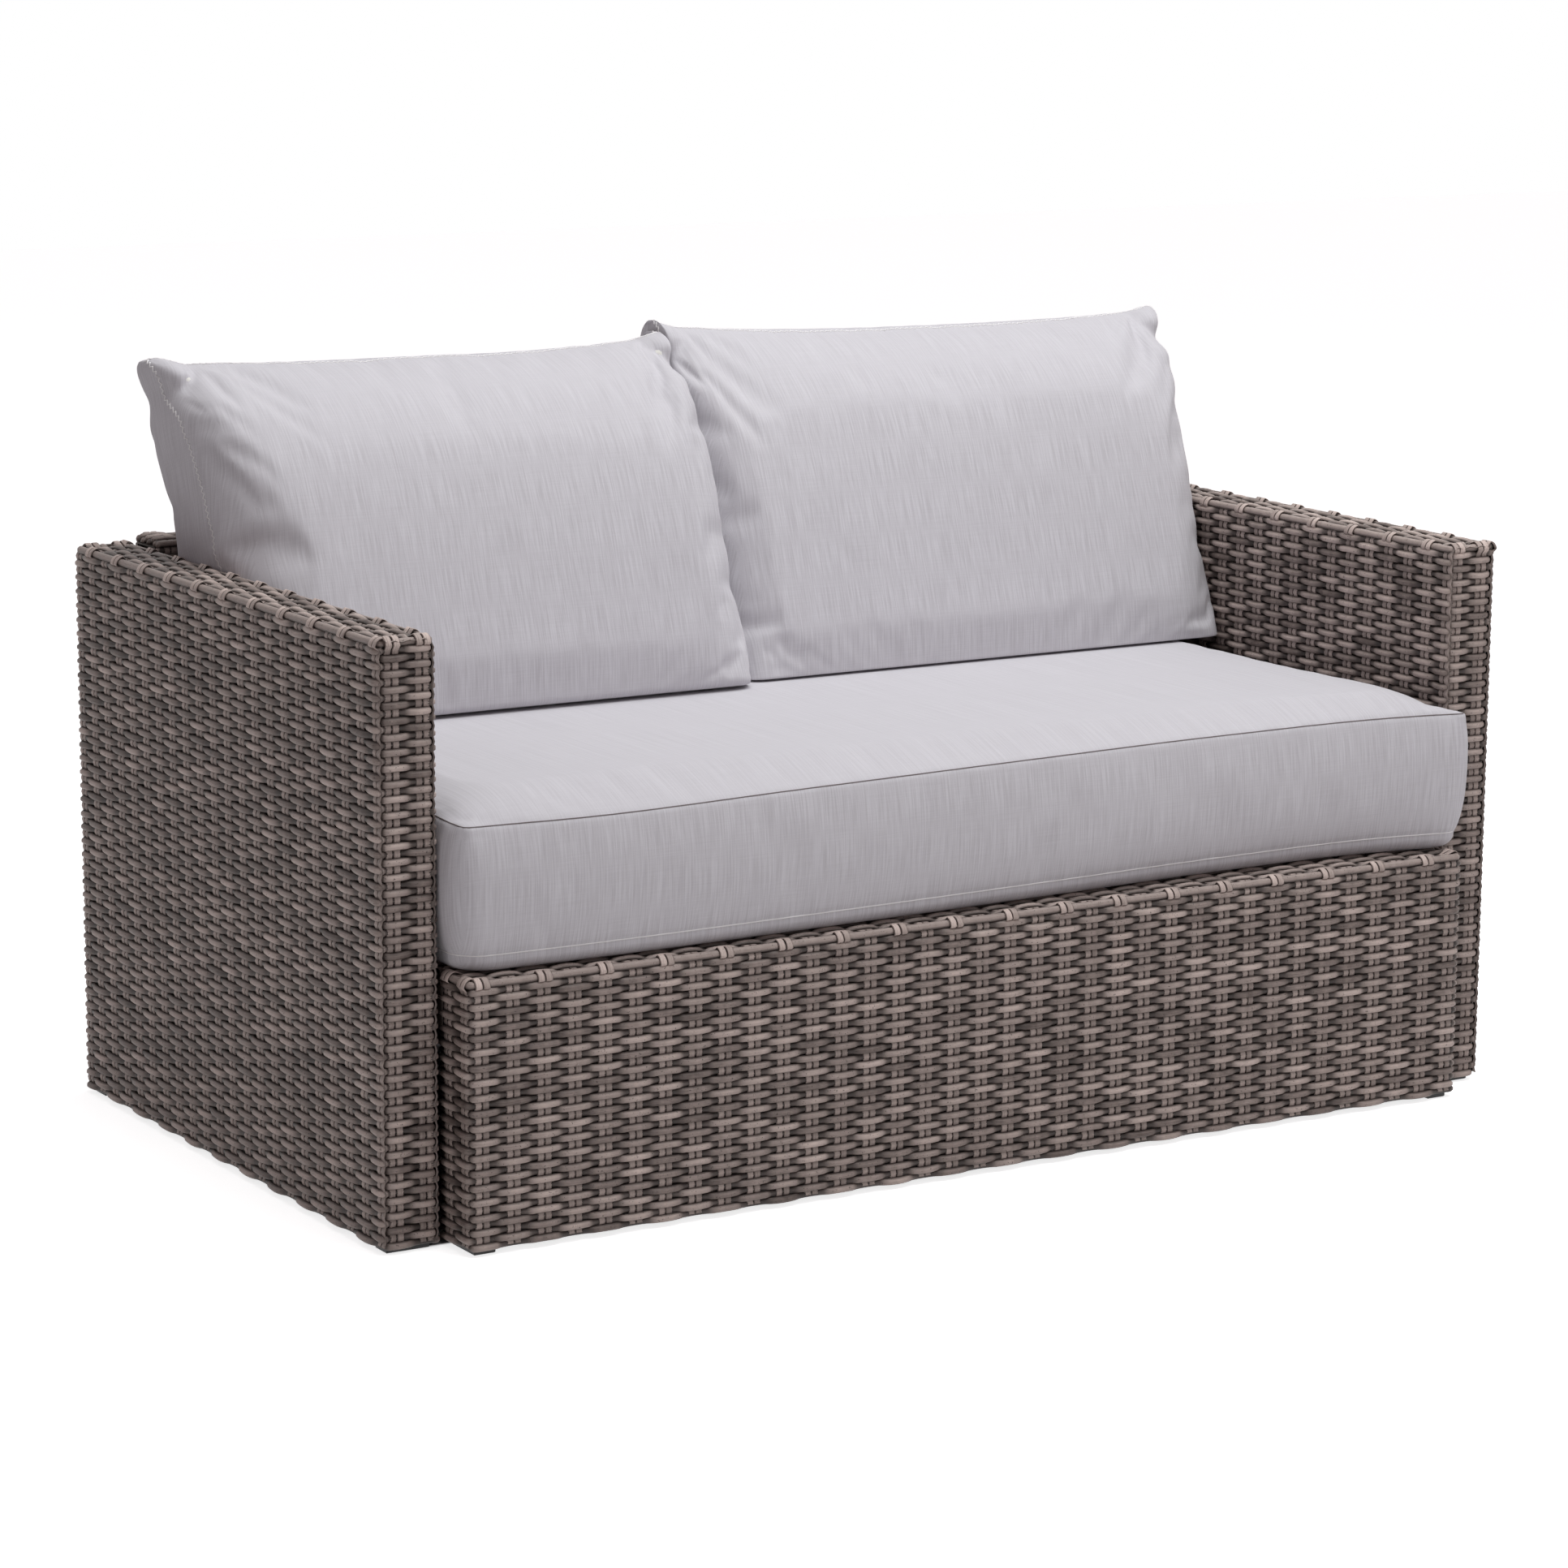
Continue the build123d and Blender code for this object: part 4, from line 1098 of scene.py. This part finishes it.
def seat_cushion():
    """The bench cushion: rolled lower edge, bulged boxing and crowned top. Also its two seam lines."""
    front, rear = seat_low[1] + seat_bulge, seat_high[1]
    middle_y, half_y = (front + rear) / 2, (rear - front) / 2
    columns, rows = round(2 * seat_half_wide / seat_cell) + 1, round(2 * half_y / seat_cell) + 1
    u, v = crowd(columns), crowd(rows)
    sheets = Sheets()

    def level(across, deep, inset, radius, z):
        x, y = seat_outline(across, deep, inset, radius, seat_half_wide, half_y)
        return np.stack([x, y + middle_y, np.broadcast_to(z, x.shape)], -1)

    grid_u, grid_v = np.meshgrid(u, v)
    edge_x = (1 - np.abs(grid_u)) * seat_half_wide / seat_crown_roll
    edge_y = (1 - np.abs(grid_v)) * half_y / np.where(grid_v < 0, seat_crown_roll, seat_rear_roll)
    rise = (1 - np.clip(1 - edge_x, 0, 1) ** 4) * (1 - np.clip(1 - edge_y, 0, 1) ** 4)
    dents = seat_dent * rise_and_fall(grid_u, *seat_dents_across)
    dents = dents * rise_and_fall(grid_v, *seat_dents_along) * rise
    sag = smooth_line(grid_u, seat_seam_sags) * np.clip(-grid_v, 0, 1) ** 6
    top = seat_seam_high - sag + seat_crown * rise - np.abs(dents)
    sheets.add(level(grid_u, grid_v, 0, seat_top_corner, top), False)
    sheets.add(level(grid_u, grid_v, seat_roll, seat_corner, seat_low[2]), True)
    levels = []
    for t in np.linspace(0, 1, 6)[:-1]:
        rolled = seat_roll * (1 - math.sin(t * math.pi / 2))
        rise_share = 1 - math.cos(t * math.pi / 2)
        levels.append((seat_low[2] + (seat_seam_low - seat_low[2]) * rise_share, rolled, seat_corner))
    for t in (1 + crowd(seat_boxing_rows)) / 2:
        bulge = seat_bulge * (1 - abs(2 * t - 1) ** seat_bulge_power)
        corner = seat_corner + (seat_top_corner - seat_corner) * t ** 4
        levels.append((seat_seam_low + t * (seat_seam_high - seat_seam_low), -bulge, corner))
    ring_u = np.concatenate([u, np.ones(rows - 2), u[::-1], -np.ones(rows - 1)])
    ring_v = np.concatenate([-np.ones(columns), v[1:-1], np.ones(columns), v[::-1][1:]])
    ring_sag = smooth_line(ring_u, seat_seam_sags) * np.clip(-ring_v, 0, 1) ** 6
    rings = []
    for z, inset, corner in levels:
        share = max(0.0, (z - seat_seam_low) / (seat_seam_high - seat_seam_low))
        rings.append(level(ring_u, ring_v, inset, corner, z - ring_sag * share))
    first = sheets.add(np.array(rings), False)
    piece, index = sheets.piece("seat_cushion")
    count = len(ring_u)
    seams = [index[first + k * count + np.arange(count - 1)] for k in (5, len(levels) - 1)]
    places, _ = mesh_places(piece)
    under = np.nonzero(places[:, 2] < seat_seam_low)[0]
    inflate(piece, [*under, *seams[0], *seams[1]], seat_cap, seat_slack)
    places, _ = mesh_places(piece)
    places[:, 2] = np.clip(places[:, 2], seat_low[2], seat_high[2] - seat_top_play)
    places[:, 1] = np.minimum(places[:, 1], seat_high[1])
    beside = places[:, 1] > arm_low[1]
    places[beside, 0] = np.clip(places[beside, 0], -arm_face, arm_face)
    set_places(piece, places)
    return piece, seams


def crowd(count):
    """Places from -1 to 1 that stand closer together near both ends."""
    t = np.linspace(0, 1, count)
    return 2 * (t - grid_crowding * np.sin(2 * math.pi * t)) - 1


class Sheets:
    """Grids of points that are sewn into one closed mesh where they meet."""

    def __init__(self):
        self.points, self.quads, self.count = [], [], 0

    def add(self, grid, flip):
        """Adds a grid and returns the number of its first point."""
        first = self.count
        self.quads.append(grid_faces(first, grid.shape[1], grid.shape[0], flip))
        self.points.append(grid.reshape(-1, 3))
        self.count += grid.shape[0] * grid.shape[1]
        return first

    def piece(self, name):
        """The mesh object, and the mesh's number of each point that was added."""
        points, quads = np.concatenate(self.points), np.concatenate(self.quads)
        _, keep, index = np.unique(np.round(points, 6), axis=0, return_index=True, return_inverse=True)
        index = index.reshape(-1)
        faces = [list(dict.fromkeys(face)) for face in index[quads].tolist()]
        faces = [face for face in faces if len(face) > 2]
        data = bpy.data.meshes.new(name)
        data.from_pydata(points[keep].tolist(), [], faces)
        data.polygons.foreach_set("use_smooth", np.ones(len(faces), bool))
        data.update()
        return link(bpy.data.objects.new(name, data)), index


def pillow_rise(share, root):
    """How far a knife-edged pillow has risen at a share of its roll."""
    return (1 - (1 - np.clip(share, 0, 1)) ** pillow_roll_power) ** root


def ease(t):
    """A smooth step."""
    t = np.clip(t, 0, 1)
    return t * t * (3 - 2 * t)


def pillow_puckers(rng, chosen):
    """Small folds that run in from the side seams: side, height share, depth, width, length and slope."""
    folds = list(chosen)
    for hand in (0, 1):
        wander = rng.normal(0, pucker_wander, pucker_count)
        for height in np.linspace(*pucker_heights, pucker_count) + wander:
            deep, wide, long = (rng.uniform(*sizes) * MM for sizes in pucker_sizes)
            folds.append((hand, height, deep, wide, long, rng.uniform(*pucker_slopes)))
    return folds


def edge_path(rows, columns, inset):
    """Up one side of a grid, along its top and down its other side, as far in as the inset."""
    top, right = rows - 1 - inset, columns - 1 - inset
    path = [(j, inset) for j in range(inset, top + 1)]
    path += [(top, i) for i in range(inset + 1, right + 1)]
    return path + [(j, right) for j in range(top - 1, inset - 1, -1)]


def back_cushion(side):
    """A knife-edged pillow that leans on the raked back, stands on the seat and is pressed at its sides."""
    sign = 1 if side == "right" else -1
    rng = np.random.default_rng(pillow_seeds[side])
    up = np.array([0, math.sin(panel_rake), math.cos(panel_rake)])
    outward = np.array([0, -math.cos(panel_rake), math.sin(panel_rake)])
    columns, rows = round(pillow_wide / pillow_cell) + 1, round(pillow_tall / pillow_cell) + 1
    u, v = np.meshgrid((1 + crowd(columns)) / 2, (1 + crowd(rows)) / 2)
    inner = sign * back_split + back_gap / 2
    press_inner, press_outer = pillow_press[side]
    x0 = inner - press_inner + 0 * v
    flared = ease((v - flare_from) / flare_reach)
    x1 = arm_face + press_outer + (pillow_flare - press_outer) * flared
    width, height = x1 - x0, pillow_height[side] + pillow_dip
    half_x, half_y = width / 2, height / 2
    px, py = (2 * u - 1) * width / 2, (2 * v - 1) * height / 2
    px, py = round_plan(px, py, half_x, half_y, pillow_corner)
    bow_side = pillow_draw * (1 - (2 * v - 1) ** 2)
    waves = rise_and_fall(u, pillow_waves[side], pillow_wave_start)
    top_bow = pillow_sag[side] * (1 - (2 * u - 1) ** 2) + pillow_wave * waves
    top_bow = top_bow - pillow_tilt[side] * (u - 0.5)
    x = (x0 + x1) / 2 + px - (2 * u - 1) ** 3 * bow_side * pillow_bow_share
    h = (pillow_height[side] - pillow_dip) / 2 + py - np.clip(2 * v - 1, 0, 1) ** 3 * top_bow
    edge_side, edge_top = np.minimum(u, 1 - u) * width, (1 - v) * height
    corner = np.hypot(edge_side, edge_top)
    tip = np.exp(-(corner / ear_reach) ** 2)
    x = x + np.sign(u - 0.5) * ear_out * tip
    h = h + ear_up * tip
    top_rise = pillow_rise(edge_top / pillow_top_roll, pillow_top_root)
    foot_rise = pillow_rise(v * height / pillow_foot_roll, pillow_foot_root)
    from_pinch = (corner - ear_reach * ear_pinch_at) / (ear_reach * ear_pinch_wide)
    pinched = 1 - ear_pinch * np.exp(-from_pinch ** 2)
    fold = 0 * u
    for hand, at, deep, wide, long, slope in pillow_puckers(rng, chosen_folds[side]):
        run_in = (u if hand == 0 else 1 - u) * width
        off = (v - at) * height - slope * run_in
        valley = deep * np.exp(-(off / wide) ** 2)
        fold = fold + valley * np.exp(-(run_in / long) ** 2) * ease(run_in / fold_start)
    fold = fold * ease(np.minimum(edge_top, v * height) / fold_start)
    sheets = Sheets()
    base = np.array([0.0, panel_foot_y, pillow_foot])
    front_lean = pillow_front[side] + pillow_lean[side] * (1 - ease(v * pillow_lean_fade))
    firsts = []
    for depth, roll, root, flip in (
        (front_lean, pillow_side_roll, pillow_side_root, False),
        (-pillow_rear, pillow_rear_roll, pillow_rear_root, True),
    ):
        rise = pillow_rise(edge_side / roll, root) * np.minimum(top_rise, foot_rise) * pinched
        level = pillow_seam_level + depth * rise - (fold if not flip else 0)
        grid = base + sign * x[..., None] * X_AXIS + h[..., None] * up + level[..., None] * outward
        firsts.append(sheets.add(press_pillow(grid, side), flip != (sign < 0)))
    piece, index = sheets.piece(side + "_back_cushion")
    seam, stitched = (
        index[[firsts[0] + j * columns + i for j, i in edge_path(rows, columns, inset)]]
        for inset in (0, 1)
    )
    foot = np.nonzero(mesh_places(piece)[0][:, 2] < pillow_foot + pillow_foot_hold)[0]
    inflate(piece, [*seam, *foot], pillow_cap, pillow_slack)
    set_places(piece, press_pillow(mesh_places(piece)[0], side))
    return piece, [seam, stitched]


def press_pillow(places, side):
    """Keeps a back cushion on the seat, off the back panel and between the arm and its neighbour."""
    sign = 1 if side == "right" else -1
    x, y, z = sign * places[..., 0], places[..., 1], places[..., 2]
    over = z - pillow_foot
    z = pillow_foot + np.where(over > pillow_foot_ease, over, soft_floor(over))
    inner = sign * back_split + back_gap / 2
    beside_arm = 1 - ease((z - arm_high[2]) / pillow_over_arm)
    limit = np.where(beside_arm > 0, arm_face + (1 - beside_arm) * pillow_flare, 1.0)
    x = soft_limit(soft_limit(x, limit, 1), inner, -1)
    level = (panel_foot_y - y) * math.cos(panel_rake) + (z - pillow_foot) * math.sin(panel_rake)
    short = np.maximum(0, pillow_seam_level - pillow_rear - level)
    y, z = y - short * math.cos(panel_rake), z + short * math.sin(panel_rake)
    return np.stack([sign * x, y, z], -1)


def soft_limit(x, limit, hand):
    """Keeps a pressed side inside a wall, with a soft turn into the flat."""
    gap = hand * (limit - x)
    bent = (gap + press_ease) ** 2 / (4 * press_ease)
    return limit - hand * np.where(gap > press_ease, gap, np.where(gap < -press_ease, 0, bent))


def soft_floor(over):
    """Heights over the seat, eased to zero where the pillow would go through it."""
    bent = (over + pillow_foot_ease) ** 2 / (4 * pillow_foot_ease)
    return np.where(over < -pillow_foot_ease, 0.0, bent)


def read_vectors(items, word):
    """The vectors that a mesh keeps, one in each row."""
    values = np.zeros(len(items) * 3)
    items.foreach_get(word, values)
    return values.reshape(-1, 3)


def mesh_places(piece):
    """The places and normals of a mesh's points."""
    return read_vectors(piece.data.vertices, "co"), read_vectors(piece.data.vertex_normals, "vector")


def shown_places(piece):
    """Where the points of a mesh lie once its modifiers have moved them."""
    shown = piece.evaluated_get(bpy.context.evaluated_depsgraph_get()).data
    return read_vectors(shown.vertices, "co")[:len(piece.data.vertices)]


def sewn_line(name, piece, seam, body, zigzag, closed, radius, look):
    """A thread along a seam: one thin tube, straight or in zigzag stitches."""
    places, normals = mesh_places(piece)
    line, out = places[seam], normals[seam]
    if closed:
        line, out = np.vstack([line, line[:1]]), np.vstack([out, out[:1]])
    steps = np.linalg.norm(np.diff(line, axis=0), axis=1)
    far = np.concatenate([[0], np.cumsum(steps)])
    count = int(far[-1] / (stitch_step if zigzag else thread_step))
    s = np.linspace(0, far[-1], count, endpoint=not closed)
    line, out = (
        np.stack([np.interp(s, far, rows[:, k]) for k in range(3)], 1) for rows in (line, out)
    )
    out = unit_rows(out)
    side = unit_rows(np.cross(np.gradient(line, axis=0), out))
    if zigzag:
        line = line + side * (zigzag * np.where(np.arange(count) % 2, 1, -1))[:, None]
    tree = surface_tree(piece)
    line = np.array([tree.find_nearest(Vector(place))[0] for place in line])
    thread = Strands()
    section = [(math.cos(a), math.sin(a)) for a in np.linspace(math.pi, -math.pi, 6, endpoint=False)]
    thread.add(line, out, side, 2 * radius, radius, thread_lift * radius, 0.5, section, closed)
    declare(thread.mesh(name), look, body)


def set_places(piece, places):
    """Moves a mesh's points."""
    piece.data.vertices.foreach_set("co", places.reshape(-1))
    piece.data.update()


def inflate(piece, held, cap, slack):
    """Blows the cover up with the cloth solver, so that it swells and creases between what holds it."""
    places, _ = mesh_places(piece)
    group = piece.vertex_groups.new(name="Held")
    group.add(sorted(set(int(i) for i in held)), 1.0, "REPLACE")
    air = piece.modifiers.new("Air", "CLOTH")
    cloth = air.settings
    for word, value in cloth_settings.items():
        setattr(cloth, word, value)
    cloth.shrink_min = -slack
    cloth.vertex_group_mass = group.name
    cloth.effector_weights.gravity = 0
    air.collision_settings.use_collision = False
    scene = bpy.context.scene
    for step in range(1, cloth_steps + 1):
        scene.frame_set(step)
    moved = shown_places(piece) - places
    far = np.linalg.norm(moved, axis=1)
    print("cloth", piece.name, "moved", round(float(far.max() / MM), 1), "mm at most")
    moved *= np.minimum(1, cap / np.maximum(far, 1e-9))[:, None]
    piece.modifiers.remove(air)
    piece.vertex_groups.remove(group)
    scene.frame_set(1)
    set_places(piece, places + moved)


def pull_seams(piece, seams):
    """Draws the seams into the cover."""
    places, normals = mesh_places(piece)
    for seam in seams:
        places[seam] -= normals[seam] * seam_pull
    set_places(piece, places)


def surface_tree(piece):
    """A search tree of the faces that are shown."""
    return BVHTree.FromObject(piece, bpy.context.evaluated_depsgraph_get())


def wall_play(piece, places, normals):
    """How far each point may be drawn in: the play, or less where the cushion is thin."""
    faces = [list(face.vertices) for face in piece.data.polygons]
    tree = BVHTree.FromPolygons([Vector(place) for place in places], faces)
    play = np.zeros(len(places))
    for i, (place, normal) in enumerate(zip(places, normals)):
        for hand in (1, -1):
            way = -hand * normal
            far = tree.ray_cast(Vector(place + way * core_play / 10), Vector(way))[3]
            if far is not None:
                play[i] = hand * min(core_play, far * core_thin_share)
                break
    return play


def make_core(piece, name, node, body):
    """The filling inside a cover: the cover's own form, drawn in by the play between them."""
    core = link(bpy.data.objects.new(name, piece.data.copy()))
    set_places(core, shown_places(piece))
    places, normals = mesh_places(core)
    places = places - normals * wall_play(core, places, normals)[:, None]
    middle = (places.max(0) + places.min(0)) / 2
    set_places(core, middle + (places - middle) * core_scale)
    declare(core, "fill", body, node)


def zip_strip(piece, body):
    """The zip on the cover: a tape that lies on the cloth, and the row of teeth on it."""
    low, high = (np.array(corner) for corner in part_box(body + "_zip"))
    tree = surface_tree(piece)
    middle = (low + high) / 2
    xs = np.arange(low[0], high[0], zip_step)
    hits = [tree.find_nearest((x, middle[1], middle[2])) for x in xs]
    line = np.array([hit[0] for hit in hits])
    out = np.array([hit[1] for hit in hits])
    even = np.ones(5) / 5
    out = np.stack([np.convolve(np.pad(out[:, k], 2, "edge"), even, "valid") for k in range(3)], 1)
    out = unit_rows(out)
    side = unit_rows(np.cross(np.gradient(line, axis=0), out))
    for part, wide, thick, lift, look in (
        ("tape", zip_wide, zip_thick, zip_lift, "tape"),
        ("teeth", teeth_wide, teeth_thick, zip_lift + zip_thick, "plastic"),
    ):
        strip = Strands()
        strip.add(line, out, side, wide, thick, lift, 0.5, rib_section_shares)
        declare(strip.mesh(body + "_zip_" + part), look, body, body + "_zip")


def make_cushions():
    """The three cushions, dressed, sewn and declared."""
    for made, body, filling, fill in (
        (seat_cushion(), "seat_cushion", "foam", 0.85),
        (back_cushion("left"), "left_back_cushion", "fill", 0.7),
        (back_cushion("right"), "right_back_cushion", "fill", 0.7),
    ):
        piece, seams = made
        pull_seams(piece, seams if filling == "foam" else seams[:1])
        rounder = piece.modifiers.new("Rounder", "SUBSURF")
        rounder.levels = rounder.render_levels = 1
        if filling == "foam":
            for word, seam, look in (("lower", seams[0], "pale_thread"), ("upper", seams[1], "thread")):
                name = "seat_cushion_" + word + "_thread"
                sewn_line(name, piece, seam, body, 0, True, thread_radius, look)
        else:
            name = body + "_stitches"
            sewn_line(name, piece, seams[1], body, stitch_half, False, stitch_radius, "pale_thread")
        zip_strip(piece, body)
        make_core(piece, body + "_" + filling + "_core", body + "_" + filling, body)
        declare(piece, "cloth", body, body + "_cover")


def make_camera():
    """The camera at the photograph's viewing angle."""
    camera = link(bpy.data.objects.new("Camera", bpy.data.cameras.new("Camera")))
    camera.data.lens = camera_lens
    camera.data.sensor_width = camera_sensor
    camera.location = camera_place
    way = Vector(camera_target) - Vector(camera_place)
    level = way.to_track_quat("-Z", "Y").to_matrix()
    camera.rotation_euler = (level @ Matrix.Rotation(camera_roll, 3, "Z")).to_euler()
    bpy.context.scene.camera = camera


def area_light(name, place, size, power, tint):
    """A large soft lamp."""
    data = bpy.data.lights.new(name, "AREA")
    data.shape = "SQUARE"
    data.size = size
    data.energy = power
    data.color = tint
    lamp = link(bpy.data.objects.new(name, data))
    lamp.location = place
    way = Vector(lamp_target) - Vector(place)
    lamp.rotation_euler = way.to_track_quat("-Z", "Y").to_euler()


def seen_directly(tree):
    """One where the camera, a reflection or a clear surface shows the place."""
    path = tree.nodes.new("ShaderNodeLightPath").outputs
    seen = math_node(tree, "MAXIMUM", path["Is Camera Ray"], path["Is Glossy Ray"])
    return math_node(tree, "MAXIMUM", seen, path["Is Transmission Ray"])


def make_studio():
    """Pale floor, white surround and soft light from above and from the front right. The floor's glow is
    dropped in a box under the object, a painted shadow there.
    """
    world = bpy.data.worlds.new("Studio")
    bpy.context.scene.world = world
    world.use_nodes = True
    tree = world.node_tree
    seen = seen_directly(tree)
    strength = spread(tree, seen, 0, 1, world_light, 1.0)
    background = tree.nodes["Background"]
    tree.links.new(mix_colours(tree, seen, colour(*shade_tint), (1, 1, 1, 1)), background.inputs["Color"])
    tree.links.new(strength, background.inputs["Strength"])
    for lamp in lamps:
        area_light(*lamp)
    floor = bpy.data.meshes.new("Floor")
    corners = [(x * floor_reach, y * floor_reach, 0) for x, y in ((-1, -1), (1, -1), (1, 1), (-1, 1))]
    floor.from_pydata(corners, [], [(0, 1, 2, 3)])
    material, tree, shader, place = new_material("Floor", 0.9, specular=0.1)
    shader.inputs["Base Color"].default_value = colour(*floor_pale)
    seen = seen_directly(tree)
    parts = place_node(tree, "ShaderNodeSeparateXYZ", {0: place}).outputs
    # Painted shadow: the floor's glow is dropped in a box under the object, so there it shows only its
    # rendered shade
    for word, reach, middle in (("X", painted_shadow_x, 0), ("Y", painted_shadow_y, painted_shadow_middle)):
        apart = math_node(tree, "ABSOLUTE", less(tree, parts[word], middle))
        inside = spread(tree, apart, reach - painted_shadow_edge, reach, 1.0, 0.0)
        under = inside if word == "X" else times(tree, under, inside)
    strength = times(tree, times(tree, seen, less(tree, 1.0, under)), floor_glow)
    glow = place_node(tree, "ShaderNodeEmission", {"Color": (1, 1, 1, 1), "Strength": strength})
    both = place_node(tree, "ShaderNodeAddShader", {0: shader.outputs[0], 1: glow.outputs[0]})
    tree.links.new(both.outputs[0], tree.nodes["Material Output"].inputs["Surface"])
    floor.materials.append(material)
    link(bpy.data.objects.new("Floor", floor))
    bpy.context.scene.view_settings.view_transform = "Standard"


groups = {"grain": grain_group(), "slub": slub_group(), "dust": dust_group()}
materials = {
    "strand": wicker_material("Resin strand", False),
    "rib": wicker_material("Ribbed resin strand", True),
    "cloth": cloth_material("Cushion cloth"),
    "coat": plain_material("Powder coated tube", (58, 50, 46), (104, 96, 90), 0.5),
    "plastic": plain_material("Black plastic", (22, 22, 23), (70, 68, 66), 0.45, grain=1400.0),
    "zinc": plain_material("Zinc plated steel", (176, 178, 180), (120, 120, 118), 0.32, 1.0, 2200.0, 0.5),
    "thread": plain_material("Sewing thread", (112, 104, 104), (150, 142, 142), 0.8, grain=2500.0),
    "pale_thread": plain_material(
        "Pale sewing thread", (240, 238, 238), (248, 246, 246), 0.8, grain=2500.0
    ),
    "fill": plain_material("Cushion fill", (232, 230, 224), (244, 243, 240), 0.95, grain=160.0),
    "tape": plain_material("Zip tape", (178, 174, 176), (196, 192, 194), 0.8, grain=1600.0),
}
make_camera()
make_studio()
dress_nodes()
make_arm("left")
make_arm("right")
make_apron()
make_deck()
make_back()
make_cushions()
